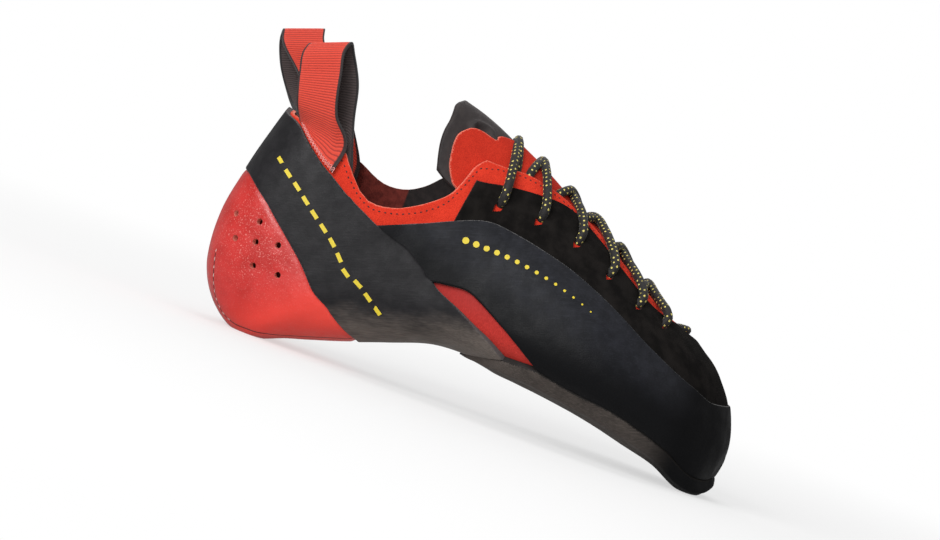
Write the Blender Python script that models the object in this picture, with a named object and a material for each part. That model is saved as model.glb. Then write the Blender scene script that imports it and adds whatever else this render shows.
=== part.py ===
"""Climbing shoe for a right foot, standing empty on its sole, drawn in metres.

+X runs from heel to toe, +Y towards the big toe's side and +Z up. The origin is on the floor under the heel.
Every wall and overlay follows one surface, the outer face of the upper's leather, at a named depth.
"""

import bmesh
import bpy
import numpy as np
from mathutils import Vector

# Driving sizes
SHOE_LENGTH = 0.240
BALL_WIDTH = 0.084
INSTEP_HEIGHT = 0.125
HEEL_HEIGHT = 0.095

# Thicknesses of the layers
UPPER_WALL = 0.0016
INSOLE_THICKNESS = 0.0014
CUP_THICKNESS = 0.0014
BAND_THICKNESS = 0.0018
RAND_THICKNESS = 0.0018
SOLE_THICKNESS = 0.0040
SOLE_EDGE_THICKNESS = 0.0026
SOLE_CORNER_THICKNESS = 0.0050
PANEL_THICKNESS = 0.0009
TONGUE_THICKNESS = 0.0022
FACING_THICKNESS = 0.0008

# Clearances: between layers, and across a seam between neighbours
GAP = 0.00045
SEAM = 0.0003

# Holes
EYELET_DIAMETER = 0.0044
PERFORATION_DIAMETER = 0.0028
CUTTER_DEPTH = 0.006

# Webbing and laces
WEBBING_WIDTH = 0.0185
WEBBING_THICKNESS = 0.0013
LACE_WIDTH = 0.0040
LACE_THICKNESS = 0.0018
LACE_CLEARANCE = 0.0010

CUP_DEPTH = GAP + CUP_THICKNESS
BAND_DEPTH = GAP + BAND_THICKNESS
SOLE_DEPTH = GAP + SOLE_THICKNESS

# Sections of the last, from the back of the ankle round the heel to the toe. Each ring runs from its top on
# the instep to its base on the heel's back or the sole.
#   top_x, base_x: shares of SHOE_LENGTH          top_z: share of INSTEP_HEIGHT
#   base_z: share of HEEL_HEIGHT, to the outside of what lies under the ring, which is under thick
#   lateral, medial: half widths, and top_y, base_y: places of the crest and the base, shares of BALL_WIDTH
#   widest: share of the ring's height    crown, belly: exponents of its upper and lower halves
#   roll: how much lower the big toe's side of the base lies, for each unit of width
SECTION_COLUMNS = (
    "top_x", "top_z", "base_x", "base_z", "lateral", "medial",
    "top_y", "base_y", "widest", "crown", "belly", "roll", "under",
)
SECTIONS = {
    "ankle": (0.204, 1.040, -0.052, 1.063, 0.274, 0.274, 0.024, 0, 0.50, 2.40, 2.30, 0, 0),
    "heel_top": (0.229, 1.026, -0.069, 0.926, 0.292, 0.292, 0.024, 0, 0.50, 2.40, 2.35, 0, 0),
    "achilles": (0.258, 1.011, -0.090, 0.721, 0.315, 0.315, 0.024, 0, 0.49, 2.40, 2.40, 0, 0),
    "heel_back": (0.288, 0.991, -0.109, 0.474, 0.333, 0.333, 0.024, 0, 0.48, 2.40, 2.45, 0, 0),
    "heel_low": (0.315, 0.970, -0.102, 0.242, 0.345, 0.345, 0.024, 0, 0.47, 2.40, 2.55, 0, 0),
    "heel_turn": (0.342, 0.947, -0.065, 0.084, 0.355, 0.351, 0.024, 0, 0.46, 2.35, 2.65, 0, 0),
    "heel_seat": (0.369, 0.923, -0.004, -0.020, 0.361, 0.355, 0.030, 0, 0.45, 2.30, 2.85, 0, CUP_DEPTH),
    "heel_front": (0.396, 0.898, 0.071, 0.036, 0.367, 0.352, 0.036, 0, 0.43, 2.25, 2.75, 0, CUP_DEPTH),
    "shank": (0.425, 0.868, 0.154, 0.100, 0.373, 0.345, 0.048, 0, 0.41, 2.20, 2.75, 0, CUP_DEPTH),
    "waist_back": (0.458, 0.834, 0.238, 0.172, 0.387, 0.336, 0.060, 0, 0.39, 2.10, 2.75, 0, BAND_DEPTH),
    "waist": (0.496, 0.794, 0.317, 0.236, 0.412, 0.338, 0.071, 0, 0.37, 2.00, 2.75, 0.010, BAND_DEPTH),
    "waist_front": (0.538, 0.752, 0.392, 0.220, 0.444, 0.360, 0.083, 0, 0.36, 1.95, 2.75, 0.025, SOLE_DEPTH),
    "instep": (0.583, 0.700, 0.467, 0.201, 0.479, 0.400, 0.101, 0.012, 0.35, 1.90, 2.75, 0.040, SOLE_DEPTH),
    "ball_lateral": (0.631, 0.640, 0.546, 0.178, 0.500, 0.452, 0.119, 0.024, 0.34, 1.90, 2.75, 0.050, SOLE_DEPTH),
    "ball_medial": (0.681, 0.576, 0.625, 0.146, 0.488, 0.494, 0.143, 0.042, 0.34, 1.90, 2.75, 0.055, SOLE_DEPTH),
    "toe_roots": (0.733, 0.520, 0.700, 0.102, 0.432, 0.517, 0.167, 0.065, 0.35, 1.95, 2.75, 0.050, SOLE_DEPTH),
    "knuckles": (0.781, 0.468, 0.767, 0.058, 0.325, 0.507, 0.185, 0.101, 0.36, 2.00, 2.80, 0.035, SOLE_DEPTH),
    "toes": (0.821, 0.404, 0.819, -0.003, 0.179, 0.458, 0.202, 0.143, 0.38, 2.00, 3.00, 0.015, SOLE_DEPTH),
    "toe_front": (0.852, 0.320, 0.851, -0.005, 0.042, 0.393, 0.214, 0.185, 0.42, 2.00, 2.60, 0.010, SOLE_DEPTH),
    "toe_bumper": (0.870, 0.232, 0.868, 0.076, -0.095, 0.321, 0.214, 0.208, 0.48, 2.00, 2.05, 0.005, SOLE_DEPTH),
    "toe_tip": (0.875, 0.160, 0.875, 0.160, -0.214, 0.214, 0.214, 0.214, 0.50, 2.00, 2.00, 0, 0),
}
TIP = len(SECTIONS) - 1

# Edges on the last, as (ring, angle) pairs. Rings count the sections from the ankle, and angles are degrees
# round a ring from its base (0) to its top (180), the same on both sides.
COLLAR_LATERAL = (
    (0.40, 0), (0.90, 40), (1.50, 62), (2.20, 79), (2.95, 89), (3.85, 92), (4.35, 94), (4.70, 96.5),
    (5.00, 99.5), (5.30, 103.5), (5.55, 108.5), (5.68, 114), (5.55, 120), (5.35, 126), (5.15, 132),
    (5.15, 138),
)
COLLAR_MEDIAL = (
    (0.40, 0), (0.85, 40), (1.35, 62), (1.95, 79), (2.75, 89), (3.45, 94), (4.05, 98.5), (4.55, 104),
    (4.80, 110), (4.85, 118), (4.95, 128), (5.15, 138),
)
THROAT = (
    (5.15, 138), (6.20, 144.5), (7.20, 150.5), (8.20, 155), (9.40, 159), (10.50, 160.5), (11.50, 159.5),
    (12.50, 159), (13.50, 161), (14.30, 166), (15.00, 173), (15.60, 180),
)
CUP_EDGE = (
    (2.10, 0), (2.30, 22), (2.60, 41), (3.35, 59.5), (4.20, 69.5), (5.15, 72.5), (6.25, 68.5), (7.00, 58.5),
    (7.60, 44), (8.15, 24), (8.40, 0),
)
BAND_TOP = ((0.80, 0), (1.15, 32), (1.65, 52), (2.50, 72), (3.60, 86), (4.50, 91.5), (5.30, 95))
BAND_SEAM = ((5.30, 95), (6.10, 95), (6.80, 94), (7.60, 91.5), (8.40, 88))
BAND_WINDOW = ((8.40, 88), (9.15, 80), (9.85, 70.5), (10.75, 54), (11.60, 36))
SOLE_REAR = ((11.60, 36), (11.20, 24), (10.85, 12), (10.70, 0))
WINDOW_TOP = ((8.40, 88), (8.95, 89), (9.45, 89), (9.75, 86.5), (10.90, 74), (11.75, 62), (12.45, 50))
SOLE_BACK_CORNER = ((11.60, 36), (12.00, 43.5), (12.45, 50))
SOLE_FLANK = (
    (12.45, 50), (13.05, 48), (13.60, 49), (14.35, 54), (15.45, 55), (16.20, 54), (17.20, 54), (17.80, 54),
    (18.20, 50), (18.60, 37), (18.82, 20), (18.90, 0),
)
RAND_TOP_REAR = ((5.30, 95), (5.85, 101.5), (6.90, 110.5))
RAND_TOP = (
    (6.90, 110.5), (7.50, 116), (7.95, 119), (8.50, 119.5), (9.50, 121), (10.70, 123),
    (12.30, 125.5), (14.00, 123.5), (15.50, 121.5), (16.40, 124), (17.20, 133), (17.75, 150), (18.00, 180),
)
PANEL_TOP = (
    (5.70, 134.5), (6.60, 141), (7.45, 146), (8.20, 150.5), (8.90, 155.5), (9.50, 158), (10.50, 159.5),
    (11.50, 158.5), (12.50, 158), (13.50, 160), (14.30, 165), (15.00, 172), (15.65, 180), (16.80, 180),
    (18.00, 180),
)

# Widths round the ring, to each side, of the pieces that follow the base or the crest
BASE_OPENING = ((11.9, 0), (12.4, 17), (13.5, 25), (15.5, 27), (16.8, 22), (17.7, 12), (18.3, 0))
INSOLE_SIDE = (
    (5.00, 0), (5.20, 28), (5.80, 42), (7.50, 44), (10.0, 42), (13.0, 44), (16.0, 42), (18.0, 26), (18.9, 0),
)
TONGUE_REAR = ((0.80, 180), (0.88, 167), (1.20, 149), (2.20, 134), (3.30, 123), (4.40, 118))
TONGUE_SIDE = ((4.40, 118), (6.00, 121), (9.00, 130), (12.0, 137), (14.2, 150))
# Tongue facing, from its lateral edge over the crest to its medial edge
#   from_crest: degrees round the ring, lateral ones negative   rear, front: the rings where it starts and ends
FACING = (
    (-59.5, 5.30, 6.40), (-57.5, 4.60, 6.40), (-54, 3.95, 6.40), (-48.5, 3.30, 6.45), (-42, 3.12, 6.90),
    (-36, 3.20, 8.00), (-32, 3.55, 9.20), (-28, 4.30, 10.4), (-23, 4.20, 11.6), (-16, 4.50, 12.6),
    (-8, 5.00, 13.1), (0, 5.20, 13.3), (8, 5.10, 13.1), (16, 5.00, 12.6), (23, 5.20, 11.6),
)

# Lateral eyelets, with the medial ones opposite, and the perforations in each side of the heel cup
EYELETS = ((7.55, 126), (9.10, 133), (10.65, 138), (12.10, 138.5), (13.30, 139.5), (14.25, 146))
PERFORATIONS = ((3.20, 35.5), (3.60, 55.5), (3.75, 41), (4.05, 55), (4.40, 66), (4.60, 52.5), (5.15, 62.5))

# Pull loops, from the outer hem over the crown to the inner hem. On the shoe a row gives how many rings the
# webbing lies past the collar's edge or before the band's, and the angles of its two edges; above the collar
# it gives the middle of the webbing.
LOOP_OUTER_ROWS = (("band", -0.16, 50, 84), ("collar", 0.02, 46, 86))
LOOP_INNER_ROWS = (("collar", 0.02, 56, 90), ("collar", 0.60, 60, 90))
#   x: share of SHOE_LENGTH   y: share of BALL_WIDTH   z: share of INSTEP_HEIGHT
#   turn: degrees that the width leans up
LOOP_FREE_ROWS = (
    ("outer_mid", -0.012, 0.370, 0.800, 2),
    ("outer_high", -0.028, 0.364, 0.930, 17),
    ("crown_out", -0.035, 0.338, 1.008, 20),
    ("crown", -0.033, 0.288, 1.040, 20),
    ("crown_in", -0.027, 0.241, 1.008, 19),
    ("inner_high", -0.006, 0.216, 0.920, 13),
    ("inner_mid", 0.015, 0.222, 0.800, 0),
)
LOOP_LEAN = {"lateral": 0.0, "medial": -0.045}
LOOP_FOOT = 0.70
LOOP_YAW = 16

# Fineness of the faces
UPPER_ROWS = 12
LACE_STEPS = 5
FACING_ROWS = 7
UPPER_COLUMNS = (0, 11, 15, 17, 19, 23, 26)
HOLE_SIDES = 6
TOE_LINES = (13.0, 16.5)
MOST_LIFT = 0.0008
RAND_ROWS = (0, 0.30, 0.55, 0.75, 0.89, 1)
CUP_ROWS = (0, 0.08, 0.26, 0.45, 0.63, 0.82, 1)
DOMAIN_STEP = 1e-3
FINE = 24
SMOOTH_ANGLE = 0.7


def clear_scene():
    for obj in list(bpy.data.objects):
        bpy.data.objects.remove(obj, do_unlink=True)


def section_table():
    """The rings' measures in metres, one row each, with the tip's base drawn up to its top."""
    shares = np.array(list(SECTIONS.values()), float)
    scale = {
        "top_x": SHOE_LENGTH, "base_x": SHOE_LENGTH, "top_z": INSTEP_HEIGHT, "base_z": HEEL_HEIGHT,
        "lateral": -BALL_WIDTH, "medial": BALL_WIDTH, "top_y": BALL_WIDTH, "base_y": BALL_WIDTH,
    }
    table = {name: shares[:, k] * scale.get(name, 1.0) for k, name in enumerate(SECTION_COLUMNS)}
    table["base_z"] += table["under"]
    table["base_z"][TIP] = table["top_z"][TIP]
    return np.stack([table[name] for name in SECTION_COLUMNS[:-1]], axis=1)


TABLE = section_table()


def table_slopes():
    slopes = np.gradient(TABLE, axis=0)
    slopes[TIP, [0, 2]] = 0
    return slopes


SLOPES = table_slopes()


def ring_values(ring):
    """Every column of the section table at a ring number, on a smooth curve through the rows."""
    ring = np.clip(ring, 0, TIP)
    low = np.minimum(ring.astype(int), TIP - 1)
    t = (ring - low)[..., None]
    start, end = TABLE[low], TABLE[low + 1]
    leave, arrive = SLOPES[low], SLOPES[low + 1]
    value = (2 * t**3 - 3 * t**2 + 1) * start + (3 * t**2 - 2 * t**3) * end
    return value + (t**3 - 2 * t**2 + t) * leave + (t**3 - t**2) * arrive


def last_point(ring, angle):
    """The outer face of the upper's leather. Angles go round from the base, lateral ones negative."""
    values = np.moveaxis(ring_values(np.asarray(ring, float)), -1, 0)
    top_x, top_z, base_x, base_z, lateral, medial, top_y, base_y, widest, crown, belly, roll = values
    turn = np.radians(np.asarray(angle, float))
    rise, side = np.abs(np.cos(turn)), np.abs(np.sin(turn))
    above = np.cos(turn) < 0
    power = 2 / np.where(above, crown, belly)
    height = np.where(above, widest + (1 - widest) * rise**power, widest * (1 - rise**power))
    middle = base_y + (top_y - base_y) * height
    at_widest = base_y + (top_y - base_y) * widest
    half = np.where(turn < 0, lateral - at_widest, medial - at_widest)
    y = middle + half * side**power
    x = base_x + (top_x - base_x) * height
    z = base_z + (top_z - base_z) * height - roll * (y - base_y) * (1 - height)
    return np.stack([x, y, z], -1)


def to_map(ring, angle):
    """Place on a flat map of the last whose middle is the toe's tip, with the base downwards."""
    reach = TIP - np.asarray(ring, float)
    turn = np.radians(np.asarray(angle, float))
    return np.stack([reach * np.sin(turn), -reach * np.cos(turn)], -1)


def from_map(place):
    ring = TIP - np.hypot(place[..., 0], place[..., 1])
    return ring, np.degrees(np.arctan2(place[..., 0], -place[..., 1]))


def outward(ring, angle):
    """Unit normals of the last, pointing out."""
    place = to_map(ring, angle)
    across = np.array([DOMAIN_STEP, 0.0])
    along = np.array([0.0, DOMAIN_STEP])
    by_p = last_point(*from_map(place + across)) - last_point(*from_map(place - across))
    by_q = last_point(*from_map(place + along)) - last_point(*from_map(place - along))
    normal = np.cross(by_p, by_q)
    return normal / np.linalg.norm(normal, axis=-1, keepdims=True)


def at_depth(ring, angle, depth):
    """A point of the last moved outwards by depth, and never under the floor."""
    point = last_point(ring, angle) + outward(ring, angle) * np.asarray(depth, float)[..., None]
    point[..., 2] = np.maximum(point[..., 2], 0)
    return point


def smooth_through(points, fine):
    """Points on a smooth curve through the given ones, fine of them to each span, paced by spans' lengths."""
    points = np.asarray(points, float)
    steps = np.linalg.norm(np.diff(points.reshape(len(points), -1), axis=0), axis=1)
    marks = np.concatenate([[0], np.cumsum(steps)])
    slopes = np.gradient(points, marks, axis=0)
    spans = len(steps)
    t = np.linspace(0, spans, spans * fine + 1)
    low = np.minimum(t.astype(int), spans - 1)
    shape = (-1,) + (1,) * (points.ndim - 1)
    step, t = steps[low].reshape(shape), (t - low).reshape(shape)
    value = (2 * t**3 - 3 * t**2 + 1) * points[low] + (3 * t**2 - 2 * t**3) * points[low + 1]
    turning = (t**3 - 2 * t**2 + t) * slopes[low] + (t**3 - t**2) * slopes[low + 1]
    return value + step * turning


def edge(*tables):
    """Map places along joined tables of rings and angles, each with its count of steps of even real length.
    Two pieces that name the same table with the same count meet point for point."""
    places = []
    for table, count in tables:
        ring, angle = smooth_through(table, FINE).T
        angle = np.clip(angle, 0, 180)
        points = last_point(ring, angle)
        length = np.concatenate([[0], np.cumsum(np.linalg.norm(np.diff(points, axis=0), axis=1))])
        even = np.linspace(0, length[-1], count + 1)[1 if places else 0:]
        places.append(to_map(np.interp(even, length, ring), np.interp(even, length, angle)))
    return np.concatenate(places)


def band_between(first, second, share, inset_first=SEAM, inset_second=SEAM):
    """Rings and angles of a strip between two edges of the map, drawn in from each by an inset. Its lines run
    round the last's rings at the heel, and straight across the map at the toe."""
    ring_a, angle_a = from_map(first)
    ring_b, angle_b = from_map(second)
    width = np.linalg.norm(last_point(ring_a, angle_a) - last_point(ring_b, angle_b), axis=-1)
    width = np.maximum(width, 4 * SEAM)[:, None]
    share = inset_first / width + np.asarray(share)[None, :] * (1 - (inset_first + inset_second) / width)
    ring = ring_a[:, None] + (ring_b - ring_a)[:, None] * share
    around = to_map(ring, angle_a[:, None] + (angle_b - angle_a)[:, None] * share)
    straight = first[:, None] + (second - first)[:, None] * share[..., None]
    toe = ((ring_a + ring_b) / 2 - TOE_LINES[0]) / (TOE_LINES[1] - TOE_LINES[0])
    return from_map(around + (straight - around) * np.clip(toe, 0, 1)[:, None, None])


def material(name, colour, roughness, metallic=0.0):
    made = bpy.data.materials.new(name)
    made.use_nodes = True
    shader = made.node_tree.nodes["Principled BSDF"]
    shader.inputs["Base Color"].default_value = (*colour, 1)
    shader.inputs["Roughness"].default_value = roughness
    shader.inputs["Metallic"].default_value = metallic
    return made


def make_object(name, mesh, finish):
    for polygon in mesh.polygons:
        polygon.use_smooth = True
    mesh.set_sharp_from_angle(angle=SMOOTH_ANGLE)
    mesh.materials.append(finish)
    obj = bpy.data.objects.new(name, mesh)
    bpy.context.collection.objects.link(obj)
    return obj


def close_sheet(name, patches, finish):
    """One closed solid from patches of a middle, an outer and an inner layer of points, in the same order of
    turning. Patches join where their middle points meet, and a rim closes every free edge."""
    numbers, corners, faces = {}, [], []
    for middle, outer, inner in patches:
        rows, columns = middle.shape[:2]
        ids = np.empty((rows, columns), int)
        for i in range(rows):
            for j in range(columns):
                key = tuple(np.round(middle[i, j] * 1e5 + 0.37).astype(int))
                ids[i, j] = numbers.setdefault(key, len(numbers))
                if ids[i, j] == len(corners):
                    corners.append([])
                corners[ids[i, j]].append((outer[i, j], inner[i, j]))
        for i in range(rows - 1):
            for j in range(columns - 1):
                ring = [ids[i, j], ids[i + 1, j], ids[i + 1, j + 1], ids[i, j + 1]]
                ring = [a for a, b in zip(ring, ring[1:] + ring[:1]) if a != b]
                if len(set(ring)) > 2:
                    faces.append(ring)
    directed = {(a, b) for ring in faces for a, b in zip(ring, ring[1:] + ring[:1])}
    free = sorted(pair for pair in directed if pair[::-1] not in directed)
    shift = len(corners)
    solid = [list(ring) for ring in faces] + [[k + shift for k in reversed(ring)] for ring in faces]
    solid += [[b, a, a + shift, b + shift] for a, b in free]
    layers = np.array([np.mean(found, axis=0) for found in corners])
    points = [Vector(point) for point in np.concatenate([layers[:, 0], layers[:, 1]])]
    mesh = bpy.data.meshes.new(name)
    mesh.from_pydata(points, [], solid)
    shape = bmesh.new()
    shape.from_mesh(mesh)
    if shape.calc_volume(signed=True) < 0:
        bmesh.ops.reverse_faces(shape, faces=shape.faces)
    shape.to_mesh(mesh)
    shape.free()
    return make_object(name, mesh, finish)


def lift_for_faces(ring, angle):
    """How far the flat faces of a grid would cut under the last, which an overlay's corners are raised by."""
    point = last_point(ring, angle)
    normal = outward(ring, angle)
    lift = np.zeros(ring.shape)
    for axis in (0, 1):
        chord = (np.roll(point, 1, axis) + np.roll(point, -1, axis)) / 2
        rise = np.moveaxis(np.abs(((point - chord) * normal).sum(-1)) / 4, axis, 0)
        rise[0] = rise[1]
        rise[-1] = rise[-2]
        lift += np.moveaxis(rise, 0, axis)
    return np.minimum(lift, MOST_LIFT)


def layered(name, grids, outer, inner, finish):
    """A closed sheet over grids of rings and angles, between two depths of the last."""
    patches = []
    for ring, angle in grids:
        lift = lift_for_faces(ring, angle) if np.max(inner) > 0 else 0
        high = np.broadcast_to(outer + lift, ring.shape)
        low = np.broadcast_to(inner + lift, ring.shape)
        patches.append((last_point(ring, angle), at_depth(ring, angle, high), at_depth(ring, angle, low)))
    return close_sheet(name, patches, finish)


def both_sides(ring, angle):
    """A grid on the lateral side and its twin on the medial side, turned the same way round."""
    return [(ring, -angle), (ring[:, ::-1], angle[:, ::-1])]


def cut(target, tool):
    target.modifiers.new("holes", "BOOLEAN").object = tool
    target.modifiers["holes"].operation = "DIFFERENCE"


def pegs(name, places, diameter, depth):
    """Small prisms through the wall at rings and angles on both sides, used to cut holes."""
    mesh = bpy.data.meshes.new(name)
    shape = bmesh.new()
    for ring, angle in places:
        for sign in (-1, 1):
            here = np.array([ring]), np.array([sign * angle])
            centre = last_point(*here)[0]
            axis = Vector(outward(*here)[0])
            radius = diameter / 2
            made = bmesh.ops.create_cone(
                shape, cap_ends=True, segments=HOLE_SIDES, radius1=radius, radius2=radius, depth=depth
            )
            turn = Vector((0, 0, 1)).rotation_difference(axis).to_matrix()
            bmesh.ops.rotate(shape, verts=made["verts"], matrix=turn)
            bmesh.ops.translate(shape, verts=made["verts"], vec=Vector(centre))
    shape.to_mesh(mesh)
    shape.free()
    tool = bpy.data.objects.new(name, mesh)
    bpy.context.collection.objects.link(tool)
    tool.hide_render = True
    tool.display_type = "WIRE"
    return tool


def interpolate(table, ring):
    rings, widths = np.array(table, float).T
    return np.interp(ring, rings, widths)


def upper_side(collar):
    """Rings and angles of one side of the upper, from base to throat and from the collar to the tip."""
    rows = np.linspace(0, 1, UPPER_ROWS + 1)
    throat = smooth_through(THROAT, FINE)
    start_curve = smooth_through(collar, FINE)
    starts = np.interp(rows * THROAT[0][1], start_curve[:, 1], start_curve[:, 0])
    throat_end = THROAT[-1][0]
    opening_start, opening_end = BASE_OPENING[0][0], BASE_OPENING[-1][0]
    waist = SOLE_REAR[-1][0] - 2
    marks = (waist, opening_start, (opening_start + throat_end) / 2, throat_end, opening_end, TIP)
    columns = np.arange(UPPER_COLUMNS[-1] + 1)
    rings = np.stack([np.interp(columns, UPPER_COLUMNS, (start, *marks)) for start in starts], axis=1)
    top = np.interp(rings, throat[:, 0], np.clip(throat[:, 1], 0, 180), left=THROAT[0][1], right=180)
    bottom = np.interp(rings, *np.array(BASE_OPENING, float).T)
    return rings, bottom + (top - bottom) * rows[None, :]


def make_upper(finish, eyelets):
    lateral = upper_side(COLLAR_LATERAL)
    medial = upper_side(COLLAR_MEDIAL)
    grids = [(lateral[0], -lateral[1]), (medial[0][:, ::-1], medial[1][:, ::-1])]
    cut(layered("upper", grids, 0, -UPPER_WALL, finish), eyelets)


def make_insole(finish):
    ring, side = smooth_through(INSOLE_SIDE, 2).T
    across = np.linspace(-1, 1, 6)[None, :]
    angle = np.maximum(side, 0)[:, None] * across
    ring = np.repeat(ring[:, None], across.size, axis=1)
    top = -(UPPER_WALL + 3 * GAP)
    layered("insole", [(ring, angle)], top, top - INSOLE_THICKNESS, finish)


def make_heel_cup(finish, perforations):
    rim = edge((CUP_EDGE, 14))
    rings = from_map(rim)[0]
    grid = band_between(to_map(rings, np.zeros(len(rings))), rim, CUP_ROWS, 0, 2 * SEAM)
    cut(layered("heel_cup", both_sides(*grid), CUP_DEPTH, GAP, finish), perforations)


def make_heel_band(finish):
    front = edge((BAND_TOP, 11), (BAND_SEAM, 5), (BAND_WINDOW, 6), (SOLE_REAR, 6))
    rear = edge((CUP_EDGE, 28))
    grid = band_between(front, rear, np.linspace(0, 1, 4))
    layered("heel_band", both_sides(*grid), BAND_DEPTH, GAP, finish)


def make_rand(finish):
    top = edge((RAND_TOP_REAR, 3), (RAND_TOP, 26))
    base = edge((BAND_SEAM, 5), (WINDOW_TOP, 8), (SOLE_FLANK, 16))
    layered("rand", both_sides(*band_between(top, base, RAND_ROWS)), GAP + RAND_THICKNESS, GAP, finish)


def make_vamp_panel(finish, eyelets):
    top = edge((PANEL_TOP, 26))
    base = edge((RAND_TOP, 26))
    grid = band_between(top, base, np.linspace(0, 1, 4), 0, SEAM)
    cut(layered("vamp_panel", both_sides(*grid), GAP + PANEL_THICKNESS, GAP, finish), eyelets)


def make_outsole(finish):
    """A cut sheet of rubber, thick under the foot, proudest at its bottom corner and thinner up its flank."""
    flank = edge((SOLE_REAR[::-1], 6), (SOLE_BACK_CORNER, 2), (SOLE_FLANK, 16))
    ring, angle = from_map(flank)
    share = np.array([-1, -0.86, -0.72, -0.66, -0.45, -0.22, 0, 0.22, 0.45, 0.66, 0.72, 0.86, 1])
    drawn_in = np.maximum(angle - 1.0, 0)
    grid_angle = drawn_in[:, None] * share[None, :]
    grid_ring = np.repeat(ring[:, None], len(share), axis=1)
    profile = np.interp(
        np.abs(share), [0, 0.45, 0.70, 1],
        [SOLE_THICKNESS, SOLE_THICKNESS, SOLE_CORNER_THICKNESS, SOLE_EDGE_THICKNESS],
    )
    blend = np.clip(angle / 30, 0, 1)[:, None]
    depth = GAP + SOLE_THICKNESS + (profile[None, :] - SOLE_THICKNESS) * blend
    layered("outsole", [(grid_ring, grid_angle)], depth, GAP, finish)


def make_tongue(finish):
    """A half pipe under the throat, whose top stands free above the collar."""
    share = np.linspace(0, 1, 6)
    rear_ring, rear_angle = smooth_through(TONGUE_REAR, FINE).T
    start = np.interp(share, (180 - rear_angle) / (180 - rear_angle[-1]), rear_ring)
    columns = np.linspace(0, 1, 14)[:, None]
    ring = start[None, :] + (TONGUE_SIDE[-1][0] - start[None, :]) * columns
    side = 180 - interpolate(TONGUE_SIDE, ring)
    angle = 180 - side * share[None, :]
    top = -(UPPER_WALL + 2 * GAP + FACING_THICKNESS)
    layered("tongue", both_sides(ring, angle), top, top - TONGUE_THICKNESS, finish)


def make_tongue_facing(finish):
    """Suede on the tongue, heart-shaped at its lateral rear end, and under the laces as far as the throat goes."""
    from_crest, rear, front = np.array(FACING).T
    share = np.linspace(0, 1, FACING_ROWS + 1)[:, None]
    ring = rear[None, :] + (front - rear)[None, :] * share
    angle = np.broadcast_to(np.where(from_crest < 0, -180 - from_crest, 180 - from_crest), ring.shape)
    top = -(UPPER_WALL + GAP)
    layered("tongue_facing", [(ring, angle)], top, top - FACING_THICKNESS, finish)


def loop_rows(side, collar):
    """Rows of points across the webbing, from the outer hem over the crown to the inner hem."""
    sign = -1 if side == "lateral" else 1
    across = np.linspace(0, 1, 4)
    half = WEBBING_THICKNESS / 2
    edges = {"band": BAND_TOP, "collar": collar}
    sewn = []
    outer, inner = 2 * GAP + half, -(UPPER_WALL + 3 * GAP + half)
    for placed, depth in ((LOOP_OUTER_ROWS, outer), (LOOP_INNER_ROWS, inner)):
        made = []
        for followed, past, angle_a, angle_b in placed:
            angle = angle_a + (angle_b - angle_a) * across
            rings, angles = smooth_through(edges[followed], FINE).T
            ring = np.interp(angle, angles, rings) + past
            made.append(at_depth(ring, sign * angle, np.full(across.size, depth)))
        sewn.append(made)
    free = []
    for _, x, y, z, turn in LOOP_FREE_ROWS:
        lean = LOOP_LEAN[side] * (max(z - LOOP_FOOT, 0) / (1 - LOOP_FOOT)) ** 2
        centre = np.array([(x + lean) * SHOE_LENGTH, sign * y * BALL_WIDTH, z * INSTEP_HEIGHT])
        lean_up, yaw = np.radians(turn), sign * np.radians(LOOP_YAW)
        width = np.array([np.cos(lean_up) * np.cos(yaw), np.sin(yaw), np.sin(lean_up)]) * WEBBING_WIDTH
        free.append(centre + (across[:, None] - 0.5) * width)
    return sewn[0] + free + sewn[1]


def make_pull_loop(side, collar, finish):
    grid = smooth_through(np.array(loop_rows(side, collar)), 2)
    normal = np.cross(np.gradient(grid, axis=0), np.gradient(grid, axis=1))
    normal /= np.linalg.norm(normal, axis=-1, keepdims=True)
    shift = normal * WEBBING_THICKNESS / 2
    close_sheet("pull_loop_" + side, [(grid, grid + shift, grid - shift)], finish)


def lace_run(start_side):
    """Rings and angles from the crest of one half of the lacing, zigzagging from the top eyelets to the toe."""
    ring, angle = [], []
    sign = start_side
    for near, far in zip(EYELETS, EYELETS[1:]):
        share = np.linspace(0, 1, LACE_STEPS + 1)[:-1]
        side = (180 - near[1]) * sign * (1 - share) - (180 - far[1]) * sign * share
        ring += list(near[0] + (far[0] - near[0]) * share)
        angle += list(side)
        sign = -sign
    ring.append(EYELETS[-1][0])
    angle.append((180 - EYELETS[-1][1]) * sign)
    return np.array(ring), np.array(angle)


def make_lace_half(name, start_side):
    ring, from_top = lace_run(start_side)
    angle = np.where(from_top < 0, -180 - from_top, 180 - from_top)
    depth = GAP + PANEL_THICKNESS + LACE_CLEARANCE + LACE_THICKNESS / 2
    centre = at_depth(ring, angle, np.full(len(ring), depth))
    normal = outward(ring, angle)
    tangent = np.gradient(centre, axis=0)
    side = np.cross(tangent, normal)
    side /= np.linalg.norm(side, axis=-1, keepdims=True)
    turn = np.radians(np.arange(6) * 60 + 30)
    rings = (
        centre[:, None]
        + side[:, None] * np.cos(turn)[None, :, None] * LACE_WIDTH / 2
        + normal[:, None] * np.sin(turn)[None, :, None] * LACE_THICKNESS / 2
    )
    shape = bmesh.new()
    loops = [[shape.verts.new(point) for point in ring_points] for ring_points in rings]
    for a, b in zip(loops, loops[1:]):
        for k in range(6):
            shape.faces.new((a[k], a[(k + 1) % 6], b[(k + 1) % 6], b[k]))
    shape.faces.new(loops[0][::-1])
    shape.faces.new(loops[-1])
    if shape.calc_volume(signed=True) < 0:
        bmesh.ops.reverse_faces(shape, faces=shape.faces)
    mesh = bpy.data.meshes.new(name)
    shape.to_mesh(mesh)
    shape.free()
    return mesh


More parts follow.
